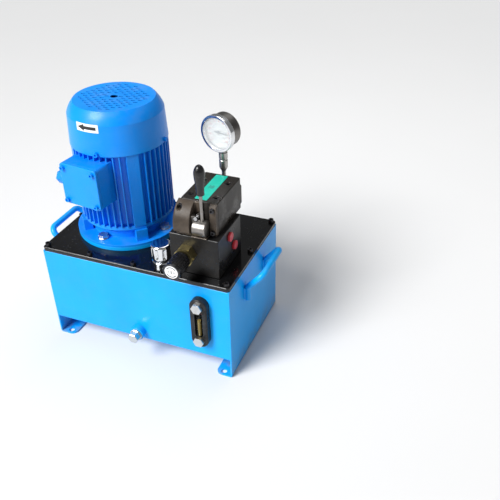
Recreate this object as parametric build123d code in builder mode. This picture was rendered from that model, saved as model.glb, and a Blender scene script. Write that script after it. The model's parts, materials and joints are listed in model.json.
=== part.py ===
from build123d import *
import math
import os

# A hydraulic power unit: an oil tank with a vertical electric motor on its lid, a gear pump hanging
# in the oil below, and a lever valve, a relief valve and a pressure gauge on a manifold block.
# The origin is on the floor, at the centre of the four foot holes. Front is -Y, up is +Z.

# Driving dimensions: tank and lid
tank_length = 380.0
tank_width = 240.0
tank_height = 200.0
ground_gap = 40.0
sheet = 3.0
sheet_corner = 5.0
foot_width = 34.0
foot_hole_diameter = 11.0
foot_hole_inset_x = 20.0
foot_hole_inset_y = 9.0
top_flange = 18.0
gasket_thickness = 2.0
lid_thickness = 6.0
lid_corner = 6.0
lid_screw_diameter = 6.0
lid_screw_inset = 8.0
lid_screw_pitch = 91.0
motor_screw_offset = 62.0

# Carrying handles
handle_bar = 12.0
handle_span = 96.0
handle_reach = 35.0
handle_low = 137.0
handle_knee = 164.0
handle_top = 197.0

# Oil level gauge, drain and breather
level_gauge_x = 134.0
level_gauge_z = 124.0
level_gauge_height = 108.0
level_gauge_width = 34.0
level_bolt_pitch = 76.0
drain_z = 60.0
drain_boss_diameter = 28.0
breather_x = 46.0
breather_gap = 6.0
breather_flange_diameter = 37.0
breather_neck = 22.0
breather_cap_diameter = 38.0

# Electric motor (standard 200 mm flange)
motor_edge = 113.5
motor_y = 13.0
motor_flange_diameter = 200.0
motor_bolt_circle = 165.0
motor_spigot = 130.0
motor_flange_thickness = 12.0
motor_bore = 73.0
motor_core = 78.0
motor_fins = 88.0
frame_length = 142.0
shield_height = 42.0
air_gap = 0.3
rotor_radius = 45.0
stack_length = 90.0
shaft_extension = 50.0
shaft_diameter = 24.0
bearing_journal = 25.0
bearing_outer = 52.0
bearing_width = 15.0
fan_cover_radius = 89.0
fan_cover_height = 76.0
shoulder_height = 21.0
shoulder_width = 16.0
slot_pitch = 13.0
slot_row = 8.5
grille_turn = 15.0
cover_sheet = 1.5
box_width = 80.0
box_height = 78.0
box_base = 306.0
box_reach = 120.0
box_lid = 6.0
box_depth = 26.0
box_turn = -7.0

# Coupling, bell housing and gear pump
coupling_diameter = 56.0
spider_thickness = 12.0
pump_hub = 22.0
bell_drop = 90.0
bell_bore = 50.0
gear_module = 2.5
gear_teeth = 12
gear_width = 24.0
gear_backlash = 0.15
pump_shaft = 16.0
pump_wall = 28.0
cover_thickness = 14.0

# Manifold block and lever valve
manifold_edge = 26.0
manifold_front = 21.0
manifold_size_x = 92.0
manifold_size_y = 99.0
manifold_size_z = 77.0
valve_size_x = 68.0
valve_size_y = 101.0
valve_size_z = 60.0
valve_screw_pitch_x = 46.0
valve_screw_pitch_y = 54.0
valve_screw_diameter = 6.0
spool_diameter = 16.0
spool_stem = 7.0
spool_drop = 23.5
crank_radius = 18.5
lever_hub_diameter = 29.0
housing_seat = 8.0
lever_shaft = 8.0
lever_rod_diameter = 6.0
lever_length = 118.0
grip_length = 54.0
grip_diameter = 19.0

# Relief valve, pressure gauge and port plugs
relief_hex = 32.0
relief_cavity = 18.0
relief_bore = 11.0
knob_diameter = 32.0
knob_length = 40.0
gauge_body = 62.0
gauge_bezel_diameter = 68.6
gauge_yaw = 13.5
gauge_height = 207.4
gauge_stand_off = 52.0
gauge_tube = 8.0
plug_diameter = 17.0
port_diameter = 13.2

# Clearances
running_fit = 0.03
free_gap = 0.3
screw_clearance = 0.3

# Derived positions
half_length = tank_length / 2
half_width = tank_width / 2
breather_y = top_flange + breather_gap + breather_neck / 2 - 1 - half_width
lid_base = tank_height + gasket_thickness
lid_top = lid_base + lid_thickness
motor_x = motor_edge - half_length
frame_base = lid_top + shield_height
frame_top = frame_base + frame_length
cover_top = frame_top + 1 + fan_cover_height
stack_base = frame_base + 25
pump_offset = gear_module * gear_teeth
pump_mid_x = motor_x + pump_offset / 2
pitch_radius = gear_module * gear_teeth / 2
tip_radius = pitch_radius + 0.8 * gear_module
root_radius = pitch_radius - 1.25 * gear_module
bell_base = lid_base - bell_drop
cover_seat = bell_base - cover_thickness
gear_base = cover_seat - gear_width
end_cover_base = gear_base - cover_thickness
port_z = gear_base + gear_width / 2
spider_base = lid_top - shaft_extension - spider_thickness
block_right = half_length - manifold_edge
block_left = block_right - manifold_size_x
block_front = manifold_front - half_width
block_back = block_front + manifold_size_y
block_top = lid_top + manifold_size_z
valve_right = block_right - 8
valve_left = valve_right - valve_size_x
valve_front = block_front + 22
valve_back = valve_front + valve_size_y
valve_top = block_top + valve_size_z
valve_mid_x = (valve_left + valve_right) / 2
valve_mid_y = valve_front + 45
spool_x = valve_mid_x + 2
spool_z = valve_top - spool_drop
lever_y = valve_front - 16
lever_z = spool_z - crank_radius
rod_x = spool_x + 10
relief_x = block_left + 33
relief_z = lid_top + 42
pressure_port = (block_left + 39, block_front + 44)
return_port = (block_left + 68, block_front + 33)
port_a = (block_front + 49, lid_top + 59)
port_b = (block_front + 67, lid_top + 31.5)
service_x = block_left + 58
gauge_port = (block_left + 39.5, lid_top + 42)
gauge_y = block_back + gauge_stand_off
gauge_z = lid_top + gauge_height
gauge_facing = math.radians(gauge_yaw)
gauge_plane = Plane(
    origin=(gauge_port[0], gauge_y, gauge_z),
    x_dir=(math.cos(gauge_facing), -math.sin(gauge_facing), 0),
    z_dir=(-math.sin(gauge_facing), -math.cos(gauge_facing), 0),
)

lid_screw_spots = [
    (sx * (half_length - lid_screw_inset), sy * (half_width - lid_screw_inset))
    for sx in (-1, 1)
    for sy in (-1, 0, 1)
]
lid_screw_spots += [(i * lid_screw_pitch, lid_screw_inset - half_width) for i in (-1, 0, 1)]
screw_row = half_width - lid_screw_inset
screw_reach = motor_flange_diameter / 2 + lid_screw_diameter + 1
flange_chord = math.sqrt(max(0, screw_reach**2 - (screw_row - motor_y) ** 2))
lid_screw_spots += [
    (motor_x - max(motor_screw_offset, flange_chord), screw_row),
    (max(0, motor_x + flange_chord), screw_row),
    (lid_screw_pitch, screw_row),
]
foot_spots = [
    (sx * (half_length - foot_hole_inset_x), sy * (half_width - foot_hole_inset_y))
    for sx in (-1, 1)
    for sy in (-1, 1)
]
motor_bolt_angles = [-97, -7, 83, 173]
motor_bolt_spots = [
    (
        motor_x + motor_bolt_circle / 2 * math.cos(math.radians(angle)),
        motor_y + motor_bolt_circle / 2 * math.sin(math.radians(angle)),
    )
    for angle in motor_bolt_angles
]
cowl_screw_angles = [-85, 5, 95, 185]
block_bolt_spots = [
    (x, y)
    for x in (block_left + 12, block_right - 12)
    for y in (block_front + 15, block_back - 15)
]
valve_screw_spots = [
    (valve_mid_x + sx * valve_screw_pitch_x / 2, valve_mid_y + sy * valve_screw_pitch_y / 2)
    for sx in (-1, 1)
    for sy in (-1, 1)
]
box_screw_spots = [
    (sx * (box_width / 2 - 8), box_base + box_height / 2 + sz * (box_height / 2 - 8))
    for sx in (-1, 1)
    for sz in (-1, 1)
]
housing_screw_spots = [
    (x, z) for x in (valve_left + 5, valve_right - 6) for z in (block_top + 8, valve_top - 9)
]
end_cover_screw_spots = [
    (spool_x + sx * 22, z) for sx in (-1, 1) for z in (block_top + 9, spool_z - 1)
]

os.makedirs("parts", exist_ok=True)


def finish(builder, name):
    """Label a finished piece and write its STEP file."""
    builder.part.label = name
    export_step(builder.part, f"parts/{name}.step")


def front_plane(y):
    """A sketch plane facing the front, with sketch X along +X and sketch Y along +Z."""
    return Plane(origin=(0, y, 0), x_dir=(1, 0, 0), z_dir=(0, -1, 0))


def side_plane(x):
    """A sketch plane facing +X, with sketch X along +Y and sketch Y along +Z."""
    return Plane(origin=(x, 0, 0), x_dir=(0, 1, 0), z_dir=(1, 0, 0))


def motor_plane(z):
    """A level sketch plane centred on the motor shaft."""
    return Plane(origin=(motor_x, motor_y, z))


def driven_plane(z):
    """A level sketch plane centred on the driven gear's shaft."""
    return Plane(origin=(motor_x + pump_offset, motor_y, z))


def box_plane(distance):
    """A plane across the terminal box's direction, so far from the shaft, with sketch Y along +Z."""
    turn = math.radians(box_turn)
    outward = Vector(math.sin(turn), -math.cos(turn), 0)
    across = Vector(math.cos(turn), math.sin(turn), 0)
    return Plane(origin=Vector(motor_x, motor_y, 0) + outward * distance, x_dir=across, z_dir=outward)


def ring(plane, outer, inner, height):
    """Add a round ring or, with no inner radius, a disc standing on a plane."""
    with BuildSketch(plane) as section:
        Circle(outer)
        if inner:
            Circle(inner, mode=Mode.SUBTRACT)
    extrude(section.sketch, amount=height)


def bore(plane, radius, depth):
    """Cut a round hole from a plane, along its normal."""
    with BuildSketch(plane) as section:
        Circle(radius)
    extrude(section.sketch, amount=depth, mode=Mode.SUBTRACT)


def turned(plane, outline):
    """Add a solid of revolution about a plane's Y axis from (radius, height) points."""
    with BuildSketch(plane) as section:
        with BuildLine():
            Polyline(*outline, close=True)
        make_face()
    revolve(section.sketch, axis=Axis(plane.origin, plane.y_dir))


def motor_profile_plane():
    """A plane through the shaft whose Y axis is the shaft, starting at the floor."""
    return Plane(origin=(motor_x, motor_y, 0), x_dir=(1, 0, 0), z_dir=(0, -1, 0))


# Tank

def tank_shell():
    """The front wall, floor and back wall, folded from one sheet, with flanges under the lid."""
    inner_length = tank_length - 2 * sheet
    with BuildPart() as shell:
        with BuildSketch(side_plane(-inner_length / 2)):
            with Locations((0, (tank_height + ground_gap) / 2)):
                wall = tank_height - ground_gap
                RectangleRounded(tank_width, wall, sheet_corner)
                RectangleRounded(
                    tank_width - 2 * sheet, wall - 2 * sheet, sheet_corner - sheet, mode=Mode.SUBTRACT
                )
            with Locations((0, tank_height)):
                Rectangle(tank_width - 2 * top_flange, 4 * sheet, mode=Mode.SUBTRACT)
        extrude(amount=inner_length)
        with Locations(*[(x, y, tank_height) for x, y in lid_screw_spots if y]):
            Hole(lid_screw_diameter / 2, 2 * sheet)
        with BuildSketch(front_plane(-half_width)):
            for z in (level_gauge_z - level_bolt_pitch / 2, level_gauge_z + level_bolt_pitch / 2):
                with Locations((level_gauge_x, z)):
                    Circle(6)
            with Locations((0, drain_z)):
                Circle(8.5)
        extrude(amount=-sheet, mode=Mode.SUBTRACT)
    finish(shell, "tank_shell")


def tank_side(side, name):
    """An end wall that runs down to the floor, where it turns inwards as a foot."""
    outer_x = side * half_length
    inward = -side
    with BuildPart() as plate:
        with BuildSketch(front_plane(half_width)):
            with BuildLine():
                Polyline(
                    (outer_x + inward * foot_width, 0),
                    (outer_x, 0),
                    (outer_x, tank_height),
                    (outer_x + inward * sheet, tank_height),
                    (outer_x + inward * sheet, sheet),
                    (outer_x + inward * foot_width, sheet),
                    close=True,
                )
            make_face()
        extrude(amount=tank_width)
        edge_x = outer_x
        fold = plate.edges().filter_by(Axis.Y).group_by(Axis.Z)[0].filter_by_position(
            Axis.X, edge_x - 1, edge_x + 1
        )
        fillet(fold, sheet_corner)
        toe = plate.edges().filter_by(Axis.Z).filter_by_position(
            Axis.X, *sorted((edge_x + inward * (foot_width - 1), edge_x + inward * (foot_width + 1)))
        )
        fillet(toe, 12)
        with BuildSketch(Plane.XY.offset(tank_height - sheet)):
            with Locations((outer_x + inward * (sheet + (top_flange - sheet) / 2), 0)):
                Rectangle(top_flange - sheet, tank_width - 2 * top_flange - 2 * free_gap)
        extrude(amount=sheet)
        with Locations(*[(x, y, tank_height) for x, y in lid_screw_spots if y == 0 and x * side > 0]):
            Hole(lid_screw_diameter / 2, 2 * sheet)
        with Locations(*[(x, y, sheet) for x, y in foot_spots if x * side > 0]):
            Hole(foot_hole_diameter / 2, 2 * sheet)
    finish(plate, name)


def carry_handles():
    """Two bent round bars, welded by their legs to the end walls."""
    with BuildPart() as handles:
        for side in (-1, 1):
            wall_x = side * (half_length + handle_bar / 2)
            grip_x = side * (half_length + handle_reach)
            span = handle_span / 2
            with BuildLine():
                path = FilletPolyline(
                    (wall_x, -span, handle_low),
                    (wall_x, -span, handle_knee),
                    (grip_x, -span, handle_top),
                    (grip_x, span, handle_top),
                    (wall_x, span, handle_knee),
                    (wall_x, span, handle_low),
                    radius=handle_bar * 1.2,
                )
            with BuildSketch(Plane(origin=path @ 0, z_dir=path % 0)):
                Circle(handle_bar / 2)
            sweep(path=path)
    finish(handles, "carry_handles")


def lid_gasket():
    """The flat seal between the tank flanges and the lid."""
    with BuildPart() as gasket:
        with BuildSketch(Plane.XY.offset(tank_height)):
            RectangleRounded(tank_length, tank_width, lid_corner)
            Rectangle(
                tank_length - 2 * top_flange, tank_width - 2 * top_flange, mode=Mode.SUBTRACT
            )
            with Locations(*lid_screw_spots):
                Circle(lid_screw_diameter / 2 + screw_clearance, mode=Mode.SUBTRACT)
        extrude(amount=gasket_thickness)
    finish(gasket, "lid_gasket")


def lid_plate():
    """The flat lid that carries the motor, the manifold and the breather."""
    with BuildPart() as lid:
        with BuildSketch(Plane.XY.offset(lid_base)):
            RectangleRounded(tank_length, tank_width, lid_corner)
            with Locations(*lid_screw_spots):
                Circle(lid_screw_diameter / 2 + screw_clearance, mode=Mode.SUBTRACT)
            with Locations((motor_x, motor_y)):
                Circle(motor_spigot / 2 + running_fit, mode=Mode.SUBTRACT)
            with Locations(*motor_bolt_spots, *block_bolt_spots):
                Circle(5 + screw_clearance, mode=Mode.SUBTRACT)
            with Locations(pressure_port):
                Circle(6 + screw_clearance, mode=Mode.SUBTRACT)
            with Locations(return_port):
                Circle(7 + screw_clearance, mode=Mode.SUBTRACT)
            with Locations((breather_x, breather_y)):
                Circle(breather_neck / 2 - 1, mode=Mode.SUBTRACT)
        extrude(amount=lid_thickness)
        chamfer(lid.faces().sort_by(Axis.Z)[-1].outer_wire().edges(), 0.8)
    finish(lid, "lid_plate")


def cap_screw(plane, diameter, length):
    """Add a socket head screw: its head stands on the plane and its shank runs below it."""
    radius = diameter / 2
    ring(plane, radius * 1.65, 0, diameter)
    ring(plane.offset(-length), radius, 0, length)
    with BuildSketch(plane.offset(diameter * 0.45)) as socket:
        RegularPolygon(radius * 0.95, 6)
    extrude(socket.sketch, amount=diameter, mode=Mode.SUBTRACT)


def lid_screws():
    """Twelve socket head screws around the lid."""
    with BuildPart() as screws:
        for x, y in lid_screw_spots:
            cap_screw(Plane(origin=(x, y, lid_top)), lid_screw_diameter, 14)
    finish(screws, "lid_screws")


def level_gauge_frame():
    """The obround holder of the sight glass, open at the front as a long window."""
    plane = front_plane(-half_width)
    with BuildPart() as frame:
        with BuildSketch(plane):
            with Locations((level_gauge_x, level_gauge_z)):
                SlotOverall(level_gauge_height, level_gauge_width, rotation=90)
        extrude(amount=13)
        fillet(frame.faces().sort_by(Axis.Y)[0].outer_wire().edges(), 3)
        with BuildSketch(plane.offset(3)):
            with Locations((level_gauge_x, level_gauge_z)):
                SlotOverall(level_bolt_pitch - 14, 16, rotation=90)
        extrude(amount=12, mode=Mode.SUBTRACT)
        with BuildSketch(plane):
            for sign in (-1, 1):
                with Locations((level_gauge_x, level_gauge_z + sign * level_bolt_pitch / 2)):
                    Circle(6)
        extrude(amount=13, mode=Mode.SUBTRACT)
    finish(frame, "level_gauge_frame")


def level_gauge_tube():
    """The clear sight tube behind the window."""
    length = level_bolt_pitch - 20 - 2 * free_gap
    with BuildPart() as tube:
        with BuildSketch(Plane(origin=(level_gauge_x, -half_width - 9, level_gauge_z - length / 2))):
            Circle(5.7)
            Circle(3.7, mode=Mode.SUBTRACT)
        extrude(amount=length)
    finish(tube, "level_gauge_tube")


def level_gauge_bolts():
    """The two hex bolts that hold the level gauge to the tank."""
    with BuildPart() as bolts:
        for sign in (-1, 1):
            z = level_gauge_z + sign * level_bolt_pitch / 2
            with BuildSketch(front_plane(-half_width - 13)):
                with Locations((level_gauge_x, z)):
                    RegularPolygon(9, 6, major_radius=False)
            extrude(amount=7)
            with BuildSketch(front_plane(-half_width - 13)):
                with Locations((level_gauge_x, z)):
                    Circle(6)
            extrude(amount=-(13 + sheet + 6))
    finish(bolts, "level_gauge_bolts")


def drain():
    """The threaded boss low on the front wall and the hex plug that closes it."""
    plane = Plane(origin=(0, -half_width, drain_z), x_dir=(1, 0, 0), z_dir=(0, -1, 0))
    with BuildPart() as boss:
        ring(plane, drain_boss_diameter / 2, 8.5, 12)
    finish(boss, "drain_boss")
    with BuildPart() as plug:
        with BuildSketch(plane.offset(12)):
            Circle(12)
        extrude(amount=3)
        with BuildSketch(plane.offset(15)):
            RegularPolygon(9.5, 6, major_radius=False)
        extrude(amount=13)
        chamfer(plug.faces().sort_by(Axis.Y)[0].edges(), 1)
        with BuildSketch(plane.offset(12)):
            Circle(8.5)
        extrude(amount=-12)
    finish(plug, "drain_plug")


def breather():
    """The filler neck with its basket, and the fluted cap that lifts off it."""
    neck = breather_neck / 2
    centre = Plane(origin=(breather_x, breather_y, lid_top))
    with BuildPart() as base:
        ring(centre, breather_flange_diameter / 2, neck - 3, 8)
        chamfer(base.faces().sort_by(Axis.Z)[-1].outer_wire().edges(), 1.5)
        ring(centre.offset(8), neck, neck - 3, 12)
        ring(centre.offset(-60), neck - 1, neck - 3, 60)
        ring(centre.offset(-60), neck - 1, 0, 2)
    finish(base, "breather_base")
    cap_radius = breather_cap_diameter / 2
    with BuildPart() as cap:
        with BuildSketch(centre.offset(12)):
            Circle(cap_radius)
            with PolarLocations(cap_radius + 2.5, 8):
                Circle(5, mode=Mode.SUBTRACT)
        extrude(amount=30)
        fillet(cap.faces().sort_by(Axis.Z)[-1].outer_wire().edges(), 1.5)
        bore(centre.offset(12), neck + running_fit, 8)
        bore(centre.offset(20), neck - 2, 12)
    finish(cap, "breather_cap")


# Electric motor

def motor_flange():
    """The drive-end shield: mounting flange, spigot, bearing seat and tie-bolt lugs."""
    top = lid_top + motor_flange_thickness
    seat = bearing_outer / 2
    neck = motor_bolt_circle / 2 - 11
    with BuildPart() as shield:
        outline = [
            (shaft_diameter / 2 + 2, lid_top - 3.5),
            (motor_spigot / 2, lid_top - 3.5),
            (motor_spigot / 2, lid_top),
            (motor_flange_diameter / 2, lid_top),
            (motor_flange_diameter / 2, top),
            (neck, top),
            (neck, top + 12),
            (motor_fins - 2, frame_base - 6),
            (motor_fins - 3, frame_base),
            (motor_bore, frame_base),
            (motor_bore, frame_base - 7),
            (neck - 7, frame_base - 14),
            (neck - 7, top + 6),
            (seat + 7, top + 6),
            (seat + 7, frame_base - 11),
            (seat, frame_base - 11),
            (seat, frame_base - 26),
            (shaft_diameter / 2 + 2, frame_base - 26),
        ]
        turned(motor_profile_plane(), outline)
        with BuildSketch(motor_plane(top)):
            with PolarLocations(motor_fins - 5, 4, start_angle=-45):
                Rectangle(16, 22)
            Circle(neck - 2, mode=Mode.SUBTRACT)
        extrude(amount=frame_base - top - 7)
        with Locations(*[(x, y, top) for x, y in motor_bolt_spots]):
            Hole(5 + screw_clearance, 2 * motor_flange_thickness)
    finish(shield, "motor_flange")


def motor_frame():
    """The finned barrel, with four smooth tie-bolt ribs and the pad of the terminal box."""
    box_back = box_reach - box_lid - box_depth
    with BuildPart() as frame:
        with BuildSketch(motor_plane(frame_base)):
            Circle(motor_core)
            for i in range(48):
                angle = i * 7.5
                from_rib = (angle + 45) % 90
                if min(from_rib, 90 - from_rib) > 8:
                    with Locations(Location((0, 0, 0), (0, 0, angle))):
                        with Locations((motor_fins / 2, 0)):
                            Rectangle(motor_fins, 2.2)
            with PolarLocations(motor_fins / 2 - 1, 4, start_angle=-45):
                Rectangle(motor_fins, 22)
            Circle(motor_bore, mode=Mode.SUBTRACT)
        extrude(amount=frame_length)
        with BuildSketch(motor_plane(box_base + 1)):
            with Locations(Location((0, 0, 0), (0, 0, box_turn))):
                with Locations((0, -(box_back + motor_bore) / 2)):
                    Rectangle(box_width - 4, box_back - motor_bore)
            Circle(motor_core - 1, mode=Mode.SUBTRACT)
        extrude(amount=box_height - 2)
    finish(frame, "motor_frame")


def stator():
    """The laminated core pressed into the barrel, with a winding head at each end."""
    with BuildPart() as core:
        ring(motor_plane(stack_base), motor_bore, rotor_radius + air_gap, stack_length)
        ring(motor_plane(stack_base - 17 - free_gap), 68, 50, 17)
        ring(motor_plane(stack_base + stack_length + free_gap), 68, 50, 17)
    finish(core, "stator")


def motor_end_shield():
    """The fan-end shield with its bearing seat."""
    seat = bearing_outer / 2
    with BuildPart() as shield:
        outline = [
            (seat, frame_top),
            (fan_cover_radius - cover_sheet - 1.2, frame_top),
            (fan_cover_radius - cover_sheet - 1.2, frame_top + 9),
            (seat + 7, frame_top + 9),
            (seat + 7, frame_top + bearing_width + 5),
            (shaft_diameter / 2 + 2, frame_top + bearing_width + 5),
            (shaft_diameter / 2 + 2, frame_top + bearing_width),
            (seat, frame_top + bearing_width),
        ]
        turned(motor_profile_plane(), outline)
        for angle in cowl_screw_angles:
            bore(radial_plane(angle, fan_cover_radius), 2.5, -9)
    finish(shield, "motor_end_shield")


def fan_cover():
    """The drawn cowl over the fan, with rows of air slots and a centre hole in its top."""
    radius = fan_cover_radius
    base = frame_top + 1
    with BuildPart() as cowl:
        with BuildSketch(motor_profile_plane()):
            with BuildLine():
                side = Line((radius, base), (radius - 3, cover_top - shoulder_height))
                shoulder = Line((radius - shoulder_width, cover_top), (0, cover_top))
                RadiusArc(side @ 1, shoulder @ 0, -60)
                inner_top = Line(
                    (0, cover_top - cover_sheet), (radius - shoulder_width, cover_top - cover_sheet)
                )
                inner_side = Line(
                    (radius - 3 - cover_sheet, cover_top - shoulder_height - cover_sheet / 2),
                    (radius - cover_sheet, base),
                )
                RadiusArc(inner_top @ 1, inner_side @ 0, 58)
                Line(inner_side @ 1, side @ 0)
                Line(shoulder @ 1, inner_top @ 0)
            make_face()
        revolve(axis=Axis((motor_x, motor_y, 0), (0, 0, 1)))
        with BuildSketch(motor_plane(cover_top)):
            Circle(7)
            with Locations(Location((0, 0, 0), (0, 0, grille_turn))):
                for row in range(-7, 8):
                    for column in range(-5, 6):
                        x = (column + row % 2 / 2) * slot_pitch
                        y = row * slot_row
                        if 12 < math.hypot(x, y) < radius - shoulder_width - 12:
                            with Locations((x, y)):
                                SlotOverall(slot_pitch * 0.65, slot_row * 0.45)
        extrude(amount=-3 * cover_sheet, mode=Mode.SUBTRACT)
        for angle in cowl_screw_angles:
            with BuildSketch(radial_plane(angle, radius - 8)):
                Circle(2.5)
            extrude(amount=12, mode=Mode.SUBTRACT)
    finish(cowl, "fan_cover")


def radial_plane(angle, distance):
    """A plane facing outwards from the motor shaft, at the height of the cowl's screws."""
    turn = math.radians(angle)
    outward = Vector(math.cos(turn), math.sin(turn), 0)
    origin = Vector(motor_x, motor_y, frame_top + 5.5) + outward * distance
    return Plane(origin=origin, x_dir=(0, 0, 1), z_dir=outward)


def motor_fan():
    """The eight-bladed cooling fan on the shaft's upper end."""
    base = frame_top + 24
    with BuildPart() as fan:
        ring(motor_plane(base), 18, 10, 26)
        ring(motor_plane(base), 72, 10, 2)
        with BuildSketch(motor_plane(base)):
            with PolarLocations(44, 8):
                Rectangle(56, 2.5)
        extrude(amount=30)
    finish(fan, "motor_fan")


def motor_shaft_part():
    """The stepped shaft that carries the rotor, the fan and the coupling."""
    steps = [
        (shaft_diameter / 2, lid_top - shaft_extension, lid_top),
        (bearing_journal / 2, lid_top, frame_base - 8),
        (15, frame_base - 8, frame_top - 2),
        (bearing_journal / 2, frame_top - 2, frame_top + 22),
        (10, frame_top + 22, frame_top + 52),
    ]
    with BuildPart() as shaft:
        for radius, base, top in steps:
            ring(motor_plane(base), radius, 0, top - base)
    finish(shaft, "motor_shaft")


def rotor_core():
    """The squirrel-cage rotor core on the shaft."""
    with BuildPart() as core:
        ring(motor_plane(stack_base), rotor_radius, 15, stack_length)
        ring(motor_plane(stack_base - 6), 40, 28, 6)
        ring(motor_plane(stack_base + stack_length), 40, 28, 6)
    finish(core, "rotor_core")


def motor_bearings():
    """The two ball bearings, one in each end shield."""
    with BuildPart() as bearings:
        for base in (frame_base - 26, frame_top):
            ring(motor_plane(base), bearing_outer / 2, bearing_journal / 2 + running_fit, bearing_width)
    finish(bearings, "motor_bearings")


def hex_bolt(plane, radius, length):
    """Add a hex bolt on a washer: its seat is the plane and its shank runs below it."""
    ring(plane, radius * 2, 0, 2)
    with BuildSketch(plane.offset(2)) as head:
        RegularPolygon(radius * 1.6, 6, major_radius=False)
    extrude(head.sketch, amount=radius * 1.3)
    ring(plane.offset(-length), radius, 0, length)


def flange_bolts():
    """Four bolts down through the motor flange, and four up through the lid into the block."""
    seat = lid_top + motor_flange_thickness
    with BuildPart() as bolts:
        for x, y in motor_bolt_spots:
            hex_bolt(Plane(origin=(x, y, seat)), 5, motor_flange_thickness + lid_thickness + 9)
        for x, y in block_bolt_spots:
            hex_bolt(Plane(origin=(x, y, lid_base), z_dir=(0, 0, -1)), 5, lid_thickness + 18)
    finish(bolts, "flange_bolts")


def terminal_box():
    """The wiring box on the barrel, with a threaded cable entry at its left."""
    back = box_reach - box_lid - box_depth
    middle_z = box_base + box_height / 2
    with BuildPart() as box:
        with BuildSketch(box_plane(back)):
            with Locations((0, middle_z)):
                RectangleRounded(box_width, box_height, 6)
        extrude(amount=box_depth)
        with BuildSketch(box_plane(back + 5)):
            with Locations((0, middle_z)):
                RectangleRounded(box_width - 8, box_height - 8, 3)
                with GridLocations(box_width - 16, box_height - 16, 2, 2):
                    Circle(6.5, mode=Mode.SUBTRACT)
        extrude(amount=box_depth - 5, mode=Mode.SUBTRACT)
        with BuildSketch(box_plane(back + box_depth)):
            with Locations((0, middle_z)):
                with GridLocations(box_width - 16, box_height - 16, 2, 2):
                    Circle(2.5)
        extrude(amount=-14, mode=Mode.SUBTRACT)
        entry = entry_plane()
        ring(entry, 12, 8, 12)
        bore(entry.offset(-5), 8, 6)
    finish(box, "terminal_box")


def entry_plane():
    """The plane of the cable entry, on the terminal box's left wall, facing left."""
    middle = box_plane(box_reach - box_lid - box_depth / 2)
    left_wall = middle.origin - middle.x_dir * box_width / 2 + Vector(0, 0, box_base + box_height / 2)
    return Plane(origin=left_wall, x_dir=middle.z_dir, z_dir=-middle.x_dir)


def terminal_box_lid():
    """The flat lid of the terminal box."""
    with BuildPart() as lid:
        with BuildSketch(box_plane(box_reach - box_lid)):
            with Locations((0, box_base + box_height / 2)):
                RectangleRounded(box_width, box_height, 6)
                with GridLocations(box_width - 16, box_height - 16, 2, 2):
                    Circle(2.5 + screw_clearance, mode=Mode.SUBTRACT)
        extrude(amount=box_lid)
        fillet(lid.faces().sort_by(Axis.Y)[0].outer_wire().edges(), 1.5)
    finish(lid, "terminal_box_lid")


def cable_gland():
    """The hex blanking plug screwed into the unused cable entry."""
    entry = entry_plane()
    with BuildPart() as plug:
        with BuildSketch(entry.offset(12)):
            RegularPolygon(11, 6, major_radius=False)
        extrude(amount=8)
        ring(entry, 8, 0, 12)
    finish(plug, "cable_gland")


def small_cover_screws():
    """The equal socket head screws of the cowl, terminal box, lever housing and valve cover."""
    with BuildPart() as screws:
        for angle in cowl_screw_angles:
            cap_screw(radial_plane(angle, fan_cover_radius + 0.1), 5, 8)
        for x, z in box_screw_spots:
            face = box_plane(box_reach)
            corner = face.from_local_coords((x, z, 0))
            cap_screw(Plane(origin=corner, x_dir=face.x_dir, z_dir=face.z_dir), 5, 14)
        for x, z in housing_screw_spots:
            seat = Plane(origin=(x, valve_front - housing_seat, z), x_dir=(1, 0, 0), z_dir=(0, -1, 0))
            cap_screw(seat, 5, housing_seat + 10)
        for x, z in end_cover_screw_spots:
            cap_screw(Plane(origin=(x, valve_back + 8, z), x_dir=(1, 0, 0), z_dir=(0, 1, 0)), 5, 18)
    finish(screws, "small_cover_screws")


# Coupling, bell housing and pump

def coupling():
    """Two jaw hubs and the soft spider between their jaws."""
    radius = coupling_diameter / 2
    motor_seat = spider_base + spider_thickness
    pump_seat = spider_base
    with BuildPart() as jaws:
        ring(motor_plane(motor_seat), radius, shaft_diameter / 2, 32)
        ring(motor_plane(pump_seat - pump_hub), radius, pump_shaft / 2, pump_hub)
        for base, height, start in ((motor_seat, -11, 0), (pump_seat, 11, 60)):
            with BuildSketch(motor_plane(base)):
                with PolarLocations(radius - 5, 3, start_angle=start):
                    Rectangle(16, 8)
                Circle(radius, mode=Mode.INTERSECT)
                Circle(radius - 13, mode=Mode.SUBTRACT)
            extrude(amount=height)
    finish(jaws, "coupling_jaws")
    with BuildPart() as spider:
        with BuildSketch(motor_plane(spider_base + 0.5)):
            Circle(13.5)
            with PolarLocations(radius - 10, 6, start_angle=30):
                Rectangle(17, 7)
            Circle(radius - 0.5, mode=Mode.INTERSECT)
        extrude(amount=spider_thickness - 1)
    finish(spider, "coupling_spider")


def bell_housing():
    """The neck that hangs the pump below the lid, in line with the motor shaft."""
    with BuildPart() as bell:
        ring(motor_plane(lid_base - 10), motor_bolt_circle / 2 + 6, bell_bore, 10)
        ring(motor_plane(bell_base), bell_bore + 6, bell_bore, bell_drop)
        ring(motor_plane(bell_base), bell_bore + 6, 20, 10)
        with Locations(*[(x, y, lid_base) for x, y in motor_bolt_spots]):
            Hole(5, 20)
    finish(bell, "bell_housing")


def pump_outline(plane, height):
    """Add a slab with the pump's outline, round both shafts."""
    with BuildSketch(plane) as outline:
        with Locations((pump_offset / 2, 0)):
            SlotCenterToCenter(pump_offset, 2 * pump_wall)
    extrude(outline.sketch, amount=height)


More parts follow.
